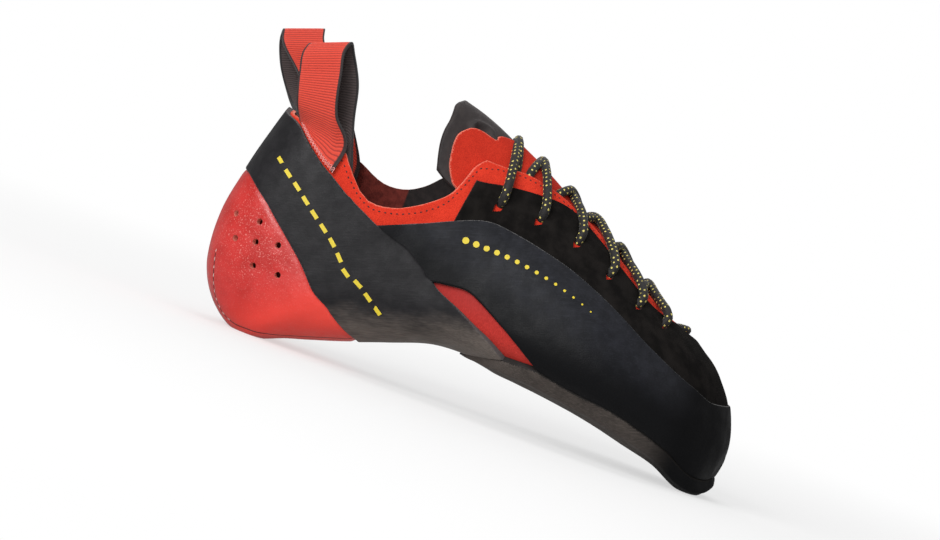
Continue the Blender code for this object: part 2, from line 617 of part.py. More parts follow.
def make_laces(finish):
    """Two halves that cross over the throat, joined where they cross."""
    laces = make_object("laces", make_lace_half("laces", -1), finish)
    other = bpy.data.objects.new("lace_other_half", make_lace_half("lace_other_half", 1))
    bpy.context.collection.objects.link(other)
    other.hide_render = True
    other.display_type = "WIRE"
    laces.modifiers.new("crossings", "BOOLEAN").object = other
    laces.modifiers["crossings"].operation = "UNION"


def main():
    clear_scene()
    red_suede = material("red_suede", (0.62, 0.07, 0.035), 0.85)
    red_leather = material("red_leather", (0.60, 0.035, 0.03), 0.35)
    black_rubber = material("black_rubber", (0.030, 0.031, 0.034), 0.55)
    sole_rubber = material("sole_rubber", (0.085, 0.078, 0.070), 0.7)
    black_suede = material("black_suede", (0.022, 0.021, 0.021), 0.9)
    black_fabric = material("black_fabric", (0.035, 0.028, 0.026), 0.75)
    lining = material("lining", (0.10, 0.02, 0.02), 0.9)
    webbing = material("webbing", (0.70, 0.10, 0.04), 0.7)
    lace_cord = material("lace_cord", (0.03, 0.03, 0.03), 0.7)
    eyelets = pegs("eyelet_pegs", EYELETS, EYELET_DIAMETER, CUTTER_DEPTH)
    perforations = pegs("perforation_pegs", PERFORATIONS, PERFORATION_DIAMETER, CUTTER_DEPTH)
    make_upper(red_suede, eyelets)
    make_insole(lining)
    make_heel_cup(red_leather, perforations)
    make_heel_band(black_rubber)
    make_rand(black_rubber)
    make_vamp_panel(black_suede, eyelets)
    make_outsole(sole_rubber)
    make_tongue(black_fabric)
    make_tongue_facing(red_suede)
    make_pull_loop("lateral", COLLAR_LATERAL, webbing)
    make_pull_loop("medial", COLLAR_MEDIAL, webbing)
    make_laces(lace_cord)


main()
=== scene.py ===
import bmesh
import bpy
import numpy as np
from mathutils import Matrix, Vector
from mathutils.kdtree import KDTree


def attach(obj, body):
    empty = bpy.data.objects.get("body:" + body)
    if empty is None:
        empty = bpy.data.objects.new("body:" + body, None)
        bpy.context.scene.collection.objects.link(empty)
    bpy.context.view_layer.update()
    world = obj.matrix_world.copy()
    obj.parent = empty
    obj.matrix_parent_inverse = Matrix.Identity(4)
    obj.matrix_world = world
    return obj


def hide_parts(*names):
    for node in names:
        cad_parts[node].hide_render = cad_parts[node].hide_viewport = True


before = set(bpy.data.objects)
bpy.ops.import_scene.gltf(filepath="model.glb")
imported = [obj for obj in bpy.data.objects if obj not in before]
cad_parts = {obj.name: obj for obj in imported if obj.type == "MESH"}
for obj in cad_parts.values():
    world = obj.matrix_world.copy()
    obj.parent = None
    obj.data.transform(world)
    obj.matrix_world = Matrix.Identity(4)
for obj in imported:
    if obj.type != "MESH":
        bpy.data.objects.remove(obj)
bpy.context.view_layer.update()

MM = 0.001

# The studio: a pale floor that runs out into white, large soft lamps, and a long lens just above the floor.
# The lens looks at the lateral side and is rolled, so that the shoe leans toe down as on a maker's page.
ROLL = np.radians(20.2)
RISE = np.radians(1.5)
AIM = Vector((80.5, 0.0, 57.7)) * MM
LENS_DISTANCE = 1.5
FRAME_WIDTH = 402 * MM
SENSOR = 36.0
FLOOR_REACH = 6.0
FLOOR_SPOT = (0.09, 0, 0)
FLOOR_FADE = (0.10, 0.75)
FLOOR_WHITE = (0.93, 0.93, 0.93, 1)
FLOOR_GLOW = 0.60
FLOOR_BOUNCE = 0.26
WHITE = (1, 1, 1, 1)
SURROUND_LIGHT = 0.26
LAMPS = (
    # name, where it stands from the aim in metres, side of its square, watts
    ("key", (-0.85, -1.15, 0.75), 0.8, 15),
    ("front_fill", (-0.35, -1.45, 0.33), 0.7, 6),
    ("top", (-0.10, 0.10, 1.40), 0.9, 5),
    ("toe_side", (1.30, -0.55, 0.75), 0.6, 1.2),
    ("behind", (-0.30, 1.20, 0.90), 0.9, 4),
)


def add(tree, kind, sockets=(), **settings):
    """Adds a node, sets it up, and gives its sockets values or links."""
    made = tree.nodes.new(kind)
    for name, value in settings.items():
        setattr(made, name, value)
    for name, value in dict(sockets).items():
        if isinstance(value, bpy.types.NodeSocket):
            tree.links.new(value, made.inputs[name])
        else:
            made.inputs[name].default_value = value
    return made


def grade(tree, value, low, high, start=0.0, end=1.0):
    """A value that goes from start to end as another goes from low to high, softly."""
    sockets = {0: value, 1: low, 2: high, 3: start, 4: end}
    return add(tree, "ShaderNodeMapRange", sockets, interpolation_type="SMOOTHSTEP").outputs[0]


scene = bpy.context.scene
scene.view_settings.view_transform = "Standard"
right = Vector((np.cos(ROLL), 0, np.sin(ROLL)))
up = Vector((-np.sin(ROLL), 0, np.cos(ROLL)))
turned = Matrix((right, up, Vector((0, -1, 0)))).transposed()
turned = Matrix.Rotation(-RISE, 3, "X") @ turned
lens = bpy.data.cameras.new("lens")
lens.sensor_width = SENSOR
lens.lens = SENSOR * LENS_DISTANCE / FRAME_WIDTH
lens.clip_end = 30
camera = bpy.data.objects.new("lens", lens)
camera.matrix_world = Matrix.Translation(AIM + turned.col[2] * LENS_DISTANCE) @ turned.to_4x4()
scene.collection.objects.link(camera)
scene.camera = camera

for name, place, side, watts in LAMPS:
    lamp = bpy.data.lights.new(name, "AREA")
    lamp.size = side
    lamp.energy = watts
    stand = bpy.data.objects.new(name, lamp)
    stand.location = AIM + Vector(place)
    stand.rotation_euler = Vector(place).to_track_quat("Z", "Y").to_euler()
    scene.collection.objects.link(stand)

world = bpy.data.worlds.new("white_surround")
scene.world = world
world.use_nodes = True
sky = world.node_tree
sky.nodes.clear()
seen = add(sky, "ShaderNodeBackground", {"Color": WHITE, "Strength": 1.0}).outputs[0]
felt = add(sky, "ShaderNodeBackground", {"Color": WHITE, "Strength": SURROUND_LIGHT}).outputs[0]
to_lens = add(sky, "ShaderNodeLightPath").outputs["Is Camera Ray"]
both = add(sky, "ShaderNodeMixShader", {0: to_lens, 1: felt, 2: seen})
add(sky, "ShaderNodeOutputWorld", {"Surface": both.outputs[0]})

floor_mesh = bpy.data.meshes.new("studio_floor")
corners = [(FLOOR_REACH * x, FLOOR_REACH * y, 0) for x, y in ((-1, -1), (1, -1), (1, 1), (-1, 1))]
floor_mesh.from_pydata(corners, [], [(0, 1, 2, 3)])
studio_floor = bpy.data.objects.new("studio_floor", floor_mesh)
scene.collection.objects.link(studio_floor)
pale = bpy.data.materials.new("pale_floor")
pale.use_nodes = True
tree = pale.node_tree
tree.nodes.clear()
where = add(tree, "ShaderNodeTexCoord").outputs["Object"]
away = add(tree, "ShaderNodeVectorMath", {0: where, 1: FLOOR_SPOT}, operation="DISTANCE").outputs["Value"]
near = add(tree, "ShaderNodeBsdfDiffuse", {"Color": FLOOR_WHITE}).outputs[0]
to_lens = add(tree, "ShaderNodeLightPath").outputs["Is Camera Ray"]
glow = grade(tree, to_lens, 0.0, 1.0, FLOOR_BOUNCE, 1.0)
far = add(tree, "ShaderNodeEmission", {"Color": WHITE, "Strength": glow}).outputs[0]
near = add(tree, "ShaderNodeMixShader", {0: FLOOR_GLOW, 1: near, 2: far}).outputs[0]
fade = add(tree, "ShaderNodeMixShader", {0: grade(tree, away, *FLOOR_FADE), 1: near, 2: far})
add(tree, "ShaderNodeOutputMaterial", {"Surface": fade.outputs[0]})
floor_mesh.materials.append(pale)

# The upper: one shell of red suede with a lining, lasted over the foot's form and cut open at the collar and
# the throat. Where it shows between the rubber pieces it is smooth and duskier. Every other piece of the shoe
# follows the last's surface, which the sections in the table below describe.
SHOE_LENGTH = 0.240
BALL_WIDTH = 0.084
INSTEP_HEIGHT = 0.125
HEEL_HEIGHT = 0.095
UPPER_WALL = 0.0016
GAP = 0.00045
CUP_THICKNESS = 0.0014
BAND_THICKNESS = 0.0018
SOLE_THICKNESS = 0.0040
CUP_DEPTH = GAP + CUP_THICKNESS
BAND_DEPTH = GAP + BAND_THICKNESS
SOLE_DEPTH = GAP + SOLE_THICKNESS
LAID_ON = 0.00005
JOINED_REACH = 0.010
SECTION_COLUMNS = (
    "top_x", "top_z", "base_x", "base_z", "lateral", "medial",
    "top_y", "base_y", "widest", "crown", "belly", "roll", "under",
)
SECTIONS = {
    "ankle": (0.204, 1.040, -0.052, 1.063, 0.274, 0.274, 0.024, 0, 0.50, 2.40, 2.30, 0, 0),
    "heel_top": (0.229, 1.026, -0.069, 0.926, 0.292, 0.292, 0.024, 0, 0.50, 2.40, 2.35, 0, 0),
    "achilles": (0.258, 1.011, -0.090, 0.721, 0.315, 0.315, 0.024, 0, 0.49, 2.40, 2.40, 0, 0),
    "heel_back": (0.288, 0.991, -0.109, 0.474, 0.333, 0.333, 0.024, 0, 0.48, 2.40, 2.45, 0, 0),
    "heel_low": (0.315, 0.970, -0.102, 0.242, 0.345, 0.345, 0.024, 0, 0.47, 2.40, 2.55, 0, 0),
    "heel_turn": (0.342, 0.947, -0.065, 0.084, 0.355, 0.351, 0.024, 0, 0.46, 2.35, 2.65, 0, 0),
    "heel_seat": (0.369, 0.923, -0.004, -0.020, 0.361, 0.355, 0.030, 0, 0.45, 2.30, 2.85, 0, CUP_DEPTH),
    "heel_front": (0.396, 0.898, 0.071, 0.036, 0.367, 0.352, 0.036, 0, 0.43, 2.25, 2.75, 0, CUP_DEPTH),
    "shank": (0.425, 0.868, 0.154, 0.100, 0.373, 0.345, 0.048, 0, 0.41, 2.20, 2.75, 0, CUP_DEPTH),
    "waist_back": (0.458, 0.834, 0.238, 0.172, 0.387, 0.336, 0.060, 0, 0.39, 2.10, 2.75, 0, BAND_DEPTH),
    "waist": (0.496, 0.794, 0.317, 0.236, 0.412, 0.338, 0.071, 0, 0.37, 2.00, 2.75, 0.010, BAND_DEPTH),
    "waist_front": (0.538, 0.752, 0.392, 0.220, 0.444, 0.360, 0.083, 0, 0.36, 1.95, 2.75, 0.025, SOLE_DEPTH),
    "instep": (0.583, 0.700, 0.467, 0.201, 0.479, 0.400, 0.101, 0.012, 0.35, 1.90, 2.75, 0.040, SOLE_DEPTH),
    "ball_lateral": (
        0.631, 0.640, 0.546, 0.178, 0.500, 0.452, 0.119, 0.024, 0.34, 1.90, 2.75, 0.050, SOLE_DEPTH,
    ),
    "ball_medial": (
        0.681, 0.576, 0.625, 0.146, 0.488, 0.494, 0.143, 0.042, 0.34, 1.90, 2.75, 0.055, SOLE_DEPTH,
    ),
    "toe_roots": (
        0.733, 0.520, 0.700, 0.102, 0.432, 0.517, 0.167, 0.065, 0.35, 1.95, 2.75, 0.050, SOLE_DEPTH,
    ),
    "knuckles": (
        0.781, 0.468, 0.767, 0.058, 0.325, 0.507, 0.185, 0.101, 0.36, 2.00, 2.80, 0.035, SOLE_DEPTH,
    ),
    "toes": (0.821, 0.404, 0.819, -0.003, 0.179, 0.458, 0.202, 0.143, 0.38, 2.00, 3.00, 0.015, SOLE_DEPTH),
    "toe_front": (
        0.852, 0.320, 0.851, -0.005, 0.042, 0.393, 0.214, 0.185, 0.42, 2.00, 2.60, 0.010, SOLE_DEPTH,
    ),
    "toe_bumper": (
        0.870, 0.232, 0.868, 0.076, -0.095, 0.321, 0.214, 0.208, 0.48, 2.00, 2.05, 0.005, SOLE_DEPTH,
    ),
    "toe_tip": (0.875, 0.160, 0.875, 0.160, -0.214, 0.214, 0.214, 0.214, 0.50, 2.00, 2.00, 0, 0),
}
TIP = len(SECTIONS) - 1
COLLAR_LATERAL = (
    (0.40, 0), (0.90, 40), (1.50, 62), (2.20, 79), (2.95, 89), (3.85, 92), (4.35, 94), (4.70, 96.5),
    (5.00, 99.5), (5.30, 103.5), (5.55, 108.5), (5.68, 114), (5.55, 120), (5.35, 126), (5.15, 132),
    (5.15, 138),
)
COLLAR_MEDIAL = (
    (0.40, 0), (0.85, 40), (1.35, 62), (1.95, 79), (2.75, 89), (3.45, 94), (4.05, 98.5), (4.55, 104),
    (4.80, 110), (4.85, 118), (4.95, 128), (5.15, 138),
)
THROAT = (
    (5.15, 138), (6.20, 144.5), (7.20, 150.5), (8.20, 155), (9.40, 159), (10.50, 160.5), (11.50, 159.5),
    (12.50, 159), (13.50, 161), (14.30, 166), (15.00, 173), (15.60, 180),
)
BASE_OPENING = ((11.9, 0), (12.4, 17), (13.5, 25), (15.5, 27), (16.8, 22), (17.7, 12), (18.3, 0))
WAIST_RING = 8.70
UPPER_COLUMNS = (0, 11, 15, 17, 19, 23, 26)
TOE_LINES = (13.0, 16.5)
DOMAIN_STEP = 1e-3
FINE = 24
LIPS = (0.0, 0.00018, 0.00045, 0.00085, 0.0014)
SMOOTH_ANGLE = 0.9
MERGE = 1e-5


def section_table():
    """The rings' measures in metres, one row each, with the tip's base drawn up to its top."""
    shares = np.array(list(SECTIONS.values()), float)
    scale = {
        "top_x": SHOE_LENGTH, "base_x": SHOE_LENGTH, "top_z": INSTEP_HEIGHT, "base_z": HEEL_HEIGHT,
        "lateral": -BALL_WIDTH, "medial": BALL_WIDTH, "top_y": BALL_WIDTH, "base_y": BALL_WIDTH,
    }
    table = {name: shares[:, k] * scale.get(name, 1.0) for k, name in enumerate(SECTION_COLUMNS)}
    table["base_z"] += table["under"]
    table["base_z"][TIP] = table["top_z"][TIP]
    return np.stack([table[name] for name in SECTION_COLUMNS[:-1]], axis=1)


TABLE = section_table()
SLOPES = np.gradient(TABLE, axis=0)
SLOPES[TIP, [0, 2]] = 0


def ring_values(ring):
    """Every column of the section table at a ring number, on a smooth curve through the rows."""
    ring = np.clip(ring, 0, TIP)
    low = np.minimum(ring.astype(int), TIP - 1)
    t = (ring - low)[..., None]
    value = (2 * t**3 - 3 * t**2 + 1) * TABLE[low] + (3 * t**2 - 2 * t**3) * TABLE[low + 1]
    return value + (t**3 - 2 * t**2 + t) * SLOPES[low] + (t**3 - t**2) * SLOPES[low + 1]


def last_point(ring, angle):
    """The outer face of the upper's leather. Angles go round from the base, lateral ones negative."""
    values = np.moveaxis(ring_values(np.asarray(ring, float)), -1, 0)
    top_x, top_z, base_x, base_z, lateral, medial, top_y, base_y, widest, crown, belly, roll = values
    turn = np.radians(np.asarray(angle, float))
    rise, side = np.abs(np.cos(turn)), np.abs(np.sin(turn))
    above = np.cos(turn) < 0
    power = 2 / np.where(above, crown, belly)
    height = np.where(above, widest + (1 - widest) * rise**power, widest * (1 - rise**power))
    middle = base_y + (top_y - base_y) * height
    at_widest = base_y + (top_y - base_y) * widest
    half = np.where(turn < 0, lateral - at_widest, medial - at_widest)
    y = middle + half * side**power
    x = base_x + (top_x - base_x) * height
    z = base_z + (top_z - base_z) * height - roll * (y - base_y) * (1 - height)
    return np.stack([x, y, z], -1)


def to_map(ring, angle):
    """Place on a flat map of the last whose middle is the toe's tip, with the base downwards."""
    reach = TIP - np.asarray(ring, float)
    turn = np.radians(np.asarray(angle, float))
    return np.stack([reach * np.sin(turn), -reach * np.cos(turn)], -1)


def from_map(place):
    """Rings and angles of places on the map."""
    ring = TIP - np.hypot(place[..., 0], place[..., 1])
    return ring, np.degrees(np.arctan2(place[..., 0], -place[..., 1]))


def outward(ring, angle):
    """Unit normals of the last, pointing out."""
    place = to_map(ring, angle)
    across, along = np.array([DOMAIN_STEP, 0.0]), np.array([0.0, DOMAIN_STEP])
    by_p = last_point(*from_map(place + across)) - last_point(*from_map(place - across))
    by_q = last_point(*from_map(place + along)) - last_point(*from_map(place - along))
    normal = np.cross(by_p, by_q)
    return normal / np.linalg.norm(normal, axis=-1, keepdims=True)


def run_along(points):
    """Metres along a line at each of its points."""
    return np.concatenate([[0], np.cumsum(np.linalg.norm(np.diff(points, axis=0), axis=1))])


def smooth_through(points, fine):
    """Points on a smooth curve through the given ones, fine of them to each span, paced by spans' lengths."""
    points = np.asarray(points, float)
    steps = np.linalg.norm(np.diff(points.reshape(len(points), -1), axis=0), axis=1)
    marks = np.concatenate([[0], np.cumsum(steps)])
    slopes = np.gradient(points, marks, axis=0)
    spans = len(steps)
    t = np.linspace(0, spans, spans * fine + 1)
    low = np.minimum(t.astype(int), spans - 1)
    shape = (-1,) + (1,) * (points.ndim - 1)
    step, t = steps[low].reshape(shape), (t - low).reshape(shape)
    value = (2 * t**3 - 3 * t**2 + 1) * points[low] + (3 * t**2 - 2 * t**3) * points[low + 1]
    return value + step * ((t**3 - 2 * t**2 + t) * slopes[low] + (t**3 - t**2) * slopes[low + 1])


def soft_noise(place, size, seed):
    """Smooth random heights from about -1 to 1, with lumps of a size."""
    lattice = np.random.RandomState(seed).uniform(-1, 1, (32, 32, 32))
    cell = place / size
    low = np.floor(cell).astype(int)
    t = cell - low
    t = t * t * (3 - 2 * t)
    total = 0
    for corner in np.ndindex(2, 2, 2):
        x, y, z = ((low + corner) % 32).T
        total = total + lattice[x, y, z] * np.prod(np.where(corner, t, 1 - t), axis=-1)
    return total


# Main creases, as soft troughs. A negative depth is a ridge. Points are x and z in millimetres, as seen from
# the side, and a crease is on the side that its y sign names, or on both for 0.
CREASES = (
    # y sign, half width, depth, points
    (0, 7.0, 0.7, ((48, 60), (62, 50), (78, 41))),
    (0, 5.0, 0.5, ((58, 72), (66, 62), (84, 52))),
    (0, 6.0, -0.5, ((84, 72), (110, 66), (140, 55), (170, 40))),
    (0, 5.0, 0.5, ((100, 48), (125, 40), (150, 30), (172, 24))),
    (-1, 3.2, 0.5, ((170, 44), (182, 40), (193, 37))),
    (0, 2.6, 0.6, ((176, 66), (180, 58), (182, 50))),
    (0, 2.2, 0.5, ((186, 61), (190, 54), (193, 47))),
    (0, 2.0, 0.4, ((194, 56), (198, 50), (200, 44))),
    (0, 4.0, 0.4, ((20, 62), (34, 46), (42, 30))),
)


def form(place):
    """How far the whole wall stands in or out of the last at each place, from creases and the hand's work."""
    flat = place[:, [0, 2]] / MM
    lift = 0.16 * MM * soft_noise(place, 0.017, 3) + 0.05 * MM * soft_noise(place, 0.006, 4)
    for sign, width, depth, points in CREASES:
        line = smooth_through(points, 8)
        gap = np.sqrt(((flat[:, None] - line[None]) ** 2).sum(-1).min(1))
        there = np.ones(len(place)) if sign == 0 else place[:, 1] * sign > 0
        lift -= depth * MM * np.exp(-((gap / width) ** 2)) * there
    return lift


def free_edges(faces, count):
    """Pairs of corners of the edges that only one face has."""
    forward = np.concatenate([faces[:, [k, (k + 1) % 4]] for k in range(4)])
    forward = forward[forward[:, 0] != forward[:, 1]]
    codes = forward[:, 0] * count + forward[:, 1]
    return forward[~np.isin(codes, forward[:, 1] * count + forward[:, 0])]


def close(name, faces, outer, inner, finishes, reach=None):
    """One closed mesh from the outer and inner points of a sheet's faces, with a rim along its free edges."""
    count = len(outer)
    free = free_edges(faces, count)
    rim = np.stack([free[:, 1], free[:, 0], free[:, 0] + count, free[:, 1] + count], -1)
    whole = np.concatenate([faces, faces[:, ::-1] + count, rim])
    kinds = np.repeat([0, 2, 1], [len(faces), len(faces), len(rim)])
    rings = [list(dict.fromkeys(ring)) for ring in whole.tolist()]
    keep = np.array([len(ring) > 2 for ring in rings])
    mesh = bpy.data.meshes.new(name)
    mesh.from_pydata(np.concatenate([outer, inner]).tolist(), [], [r for r, k in zip(rings, keep) if k])
    for finish in finishes:
        mesh.materials.append(finish)
    mesh.polygons.foreach_set("material_index", np.minimum(kinds[keep], len(finishes) - 1).astype(np.int32))
    if reach is not None:
        mesh.attributes.new("edge", "FLOAT", "POINT").data.foreach_set("value", np.tile(reach, 2))
    mesh.polygons.foreach_set("use_smooth", np.ones(len(mesh.polygons), bool))
    mesh.set_sharp_from_angle(angle=SMOOTH_ANGLE)
    piece = bpy.data.objects.new(name, mesh)
    scene.collection.objects.link(piece)
    return piece


def shell(name, grids, outer, inner, finishes, rounding=0.9 * MM, thin=0.45, shape=None, joined=None):
    """A closed sheet over grids of rings and angles. Its outer face rounds off towards the free edges, where
    it is a thin share of its thickness. shape adds the piece's own relief, and joined tells where an edge
    is blended into its neighbour and stays as it is."""
    rings, angles, faces, start = [], [], [], 0
    for ring, angle in grids:
        ids = start + np.arange(ring.size).reshape(ring.shape)
        quads = np.stack([ids[:-1, :-1], ids[1:, :-1], ids[1:, 1:], ids[:-1, 1:]], -1).reshape(-1, 4)
        flat = last_point(ring.ravel(), angle.ravel())
        a, b, c = (flat[quads[:, k] - start] for k in range(3))
        facing = (np.cross(b - a, c - a) * outward(ring.ravel(), angle.ravel())[quads[:, 0] - start]).sum(-1)
        faces.append(quads if facing.sum() > 0 else quads[:, ::-1])
        rings.append(ring.ravel())
        angles.append(angle.ravel())
        start += ring.size
    ring, angle, faces = np.concatenate(rings), np.concatenate(angles), np.concatenate(faces)
    keys = np.floor(last_point(ring, angle) / MERGE + 0.37).astype(np.int64)
    _, first, same = np.unique(keys, axis=0, return_index=True, return_inverse=True)
    faces, ring, angle = same.reshape(-1)[faces], ring[first], angle[first]
    place, normal = last_point(ring, angle), outward(ring, angle)
    border = np.unique(free_edges(faces, len(place)))
    tree = KDTree(len(border))
    for k in border:
        tree.insert(place[k], int(k))
    tree.balance()
    reach = np.array([tree.find(point)[2] for point in place])
    if joined is not None:
        reach = reach + JOINED_REACH * joined(ring, np.abs(angle))
    rounded = thin + (1 - thin) * np.sqrt(1 - (1 - np.minimum(reach / rounding, 1)) ** 2)
    high = outer(place, ring, angle) if callable(outer) else outer
    high = inner + (high - inner) * rounded
    lift = form(place)
    if shape is not None:
        high = np.maximum(high + shape(place, reach, ring, angle), inner + 0.15 * MM)
    out = place + normal * (high + lift)[:, None]
    under = place + normal * (inner + lift)[:, None]
    out[:, 2] = np.maximum(out[:, 2], 0)
    under[:, 2] = np.maximum(under[:, 2], 0.1 * MM)
    return close(name, faces, out, under, finishes, reach)


def dress(piece, slot, *nodes):
    """The piece rides on the shoe and stands for the plain solids. slot is not used."""
    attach(piece, "root")
    if nodes:
        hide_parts(*nodes)


def finish(name, roughness, **sockets):
    """A new material, its tree and its shader."""
    made = bpy.data.materials.new(name)
    made.use_nodes = True
    shader = made.node_tree.nodes["Principled BSDF"]
    shader.inputs["Roughness"].default_value = roughness
    for key, value in sockets.items():
        shader.inputs[key.replace("_", " ")].default_value = value
    return made, made.node_tree, shader


def grain(tree, size, detail=3.0, stretch=(1, 1, 1), turn=(0, 0, 0)):
    """Noise with features of a real size, on the piece's own coordinates."""
    where = add(tree, "ShaderNodeTexCoord").outputs["Object"]
    if turn != (0, 0, 0):
        where = add(tree, "ShaderNodeMapping", {"Vector": where, "Rotation": turn}).outputs[0]
    scale = tuple(1 / (size * s) for s in stretch)
    where = add(tree, "ShaderNodeMapping", {"Vector": where, "Scale": scale}).outputs[0]
    sockets = {"Vector": where, "Scale": 1.0, "Detail": detail, "Roughness": 0.55}
    return add(tree, "ShaderNodeTexNoise", sockets).outputs[0]


def blend(tree, share, low, high):
    """A colour between two, which may be links or colours."""
    sockets = {0: share}
    for index, colour in ((6, low), (7, high)):
        sockets[index] = (*colour, 1) if isinstance(colour, tuple) else colour
    return add(tree, "ShaderNodeMix", sockets, data_type="RGBA").outputs[2]


def maths(tree, operation, *values):
    """A sum, product or other reckoning with values and links."""
    return add(tree, "ShaderNodeMath", dict(enumerate(values)), operation=operation).outputs[0]


def raise_by(tree, shader, *heights):
    """Bumps of real depths in metres on a shader, one over the other."""
    normal = None
    for height, depth in heights:
        sockets = {"Height": height, "Distance": depth, "Strength": 1.0}
        if normal is not None:
            sockets["Normal"] = normal
        normal = add(tree, "ShaderNodeBump", sockets).outputs[0]
    tree.links.new(normal, shader.inputs["Normal"])


def near_edge(tree, width, ragged=0.5):
    """1 on a piece's free edge, down to 0 a width away, with a fuzzy border."""
    edge = add(tree, "ShaderNodeAttribute", attribute_name="edge").outputs["Fac"]
    wobble = grade(tree, grain(tree, 0.5 * MM, 2), 0.3, 0.7, -ragged * width, ragged * width)
    return grade(tree, maths(tree, "ADD", edge, wobble), 0.35 * width, width, 1.0, 0.0)


def axes(tree):
    """The piece's own x, y and z."""
    where = add(tree, "ShaderNodeTexCoord").outputs["Object"]
    return add(tree, "ShaderNodeSeparateXYZ", {0: where}).outputs


def suede(name, deep, raised, cut_edge, edge_width=0.7 * MM, smooth=None):
    """Napped leather: two tones in brushed patches, loose fibres, and a pale edge where it was cut. Below a
    height it can be smooth and duskier, as under the rubber."""
    made, tree, shader = finish(name, 0.92, Sheen_Weight=0.25, Sheen_Roughness=0.5)
    shader.inputs["Sheen Tint"].default_value = (*raised, 1)
    shader.inputs["Specular IOR Level"].default_value = 0.2
    patches = grade(tree, grain(tree, 9 * MM, 3), 0.35, 0.68)
    fibres = grade(tree, grain(tree, 0.35 * MM, 5), 0.30, 0.70)
    share = maths(tree, "MULTIPLY_ADD", patches, fibres, fibres)
    colour = blend(tree, share, deep, raised)
    if smooth is not None:
        z = axes(tree)[2]
        low = grade(tree, z, *smooth, 1.0, 0.0)
        dusky = blend(tree, grade(tree, z, 30 * MM, 50 * MM), (0.70, 0.052, 0.040), (0.44, 0.023, 0.019))
        pores = grade(tree, grain(tree, 0.45 * MM, 3, stretch=(1, 1, 2.5)), 0.35, 0.65, 0.45, 0.0)
        dusky = blend(tree, pores, dusky, (0.34, 0.016, 0.013))
        colour = blend(tree, low, colour, dusky)
        tree.links.new(grade(tree, low, 0.0, 1.0, 0.92, 0.55), shader.inputs["Roughness"])
    colour = blend(tree, near_edge(tree, edge_width), colour, cut_edge)
    tree.links.new(colour, shader.inputs["Base Color"])
    raise_by(tree, shader, (grain(tree, 0.30 * MM, 6), 0.10 * MM), (grain(tree, 2.2 * MM, 3), 0.18 * MM))
    return made


UPPER_SUEDE = suede(
    "upper_suede", (0.56, 0.026, 0.012), (0.82, 0.050, 0.022), (0.80, 0.19, 0.13), smooth=(50 * MM, 56 * MM),
)
CUT_SUEDE = suede("cut_suede", (0.60, 0.10, 0.07), (0.82, 0.24, 0.18), (0.84, 0.28, 0.22))


def lining():
    """The inside: dark red leather round the heel, black fabric further forward."""
    made, tree, shader = finish("lining", 0.85)
    wear = grade(tree, grain(tree, 3 * MM, 4), 0.35, 0.65)
    rear = blend(tree, wear, (0.16, 0.018, 0.012), (0.26, 0.036, 0.024))
    front = blend(tree, wear, (0.014, 0.010, 0.010), (0.028, 0.020, 0.019))
    ahead = grade(tree, axes(tree)[0], 43 * MM, 44 * MM)
    tree.links.new(blend(tree, ahead, rear, front), shader.inputs["Base Color"])
    raise_by(tree, shader, (grain(tree, 0.4 * MM, 4), 0.08 * MM))
    return made


LINING = lining()


def upper_side(collar):
    """Rings and angles of one side of the upper, from base to throat and from the collar to the tip."""
    rows = np.concatenate([np.linspace(0, 0.975, 74), 1 - np.array([0.014, 0.008, 0.004, 0.0015, 0])])
    throat = smooth_through(THROAT, FINE)
    start_curve = smooth_through(collar, FINE)
    starts = np.interp(rows * THROAT[0][1], start_curve[:, 1], start_curve[:, 0])
    throat_end, opening_start, opening_end = THROAT[-1][0], BASE_OPENING[0][0], BASE_OPENING[-1][0]
    marks = (WAIST_RING, opening_start, (opening_start + throat_end) / 2, throat_end, opening_end, TIP)
    columns = np.concatenate([[0, 0.03, 0.08, 0.15, 0.25], np.linspace(0.4, UPPER_COLUMNS[-1], 150)])
    rings = np.stack([np.interp(columns, UPPER_COLUMNS, (start, *marks)) for start in starts], axis=1)
    top = np.interp(rings, throat[:, 0], np.clip(throat[:, 1], 0, 180), left=THROAT[0][1], right=180)
    bottom = np.interp(rings, *np.array(BASE_OPENING, float).T)
    return rings, bottom + (top - bottom) * rows[None, :]


lateral, medial = upper_side(COLLAR_LATERAL), upper_side(COLLAR_MEDIAL)
upper = shell(
    "upper_shell", [(lateral[0], -lateral[1]), medial], 0, -UPPER_WALL, (UPPER_SUEDE, CUT_SUEDE, LINING),
    rounding=0.7 * MM, thin=0.55,
)

# The stitches of the collar: one row of dark thread, sunk in its holes, a finger's width inside the edge of
# the collar and on along both sides of the throat. Rows of stitches elsewhere come from the same node tree.
COLLAR_PITCH = 2.5 * MM
COLLAR_INSET = ((0, 0.20), (60, 0.24), (110, 0.26), (138, 0.24))
THROAT_DROP = ((138, 3.0), (150, 3.6), (180, 4.5))
COLLAR_SHOWN = (74, 133)
THROAT_SHOWN = (5.9, 14.6)


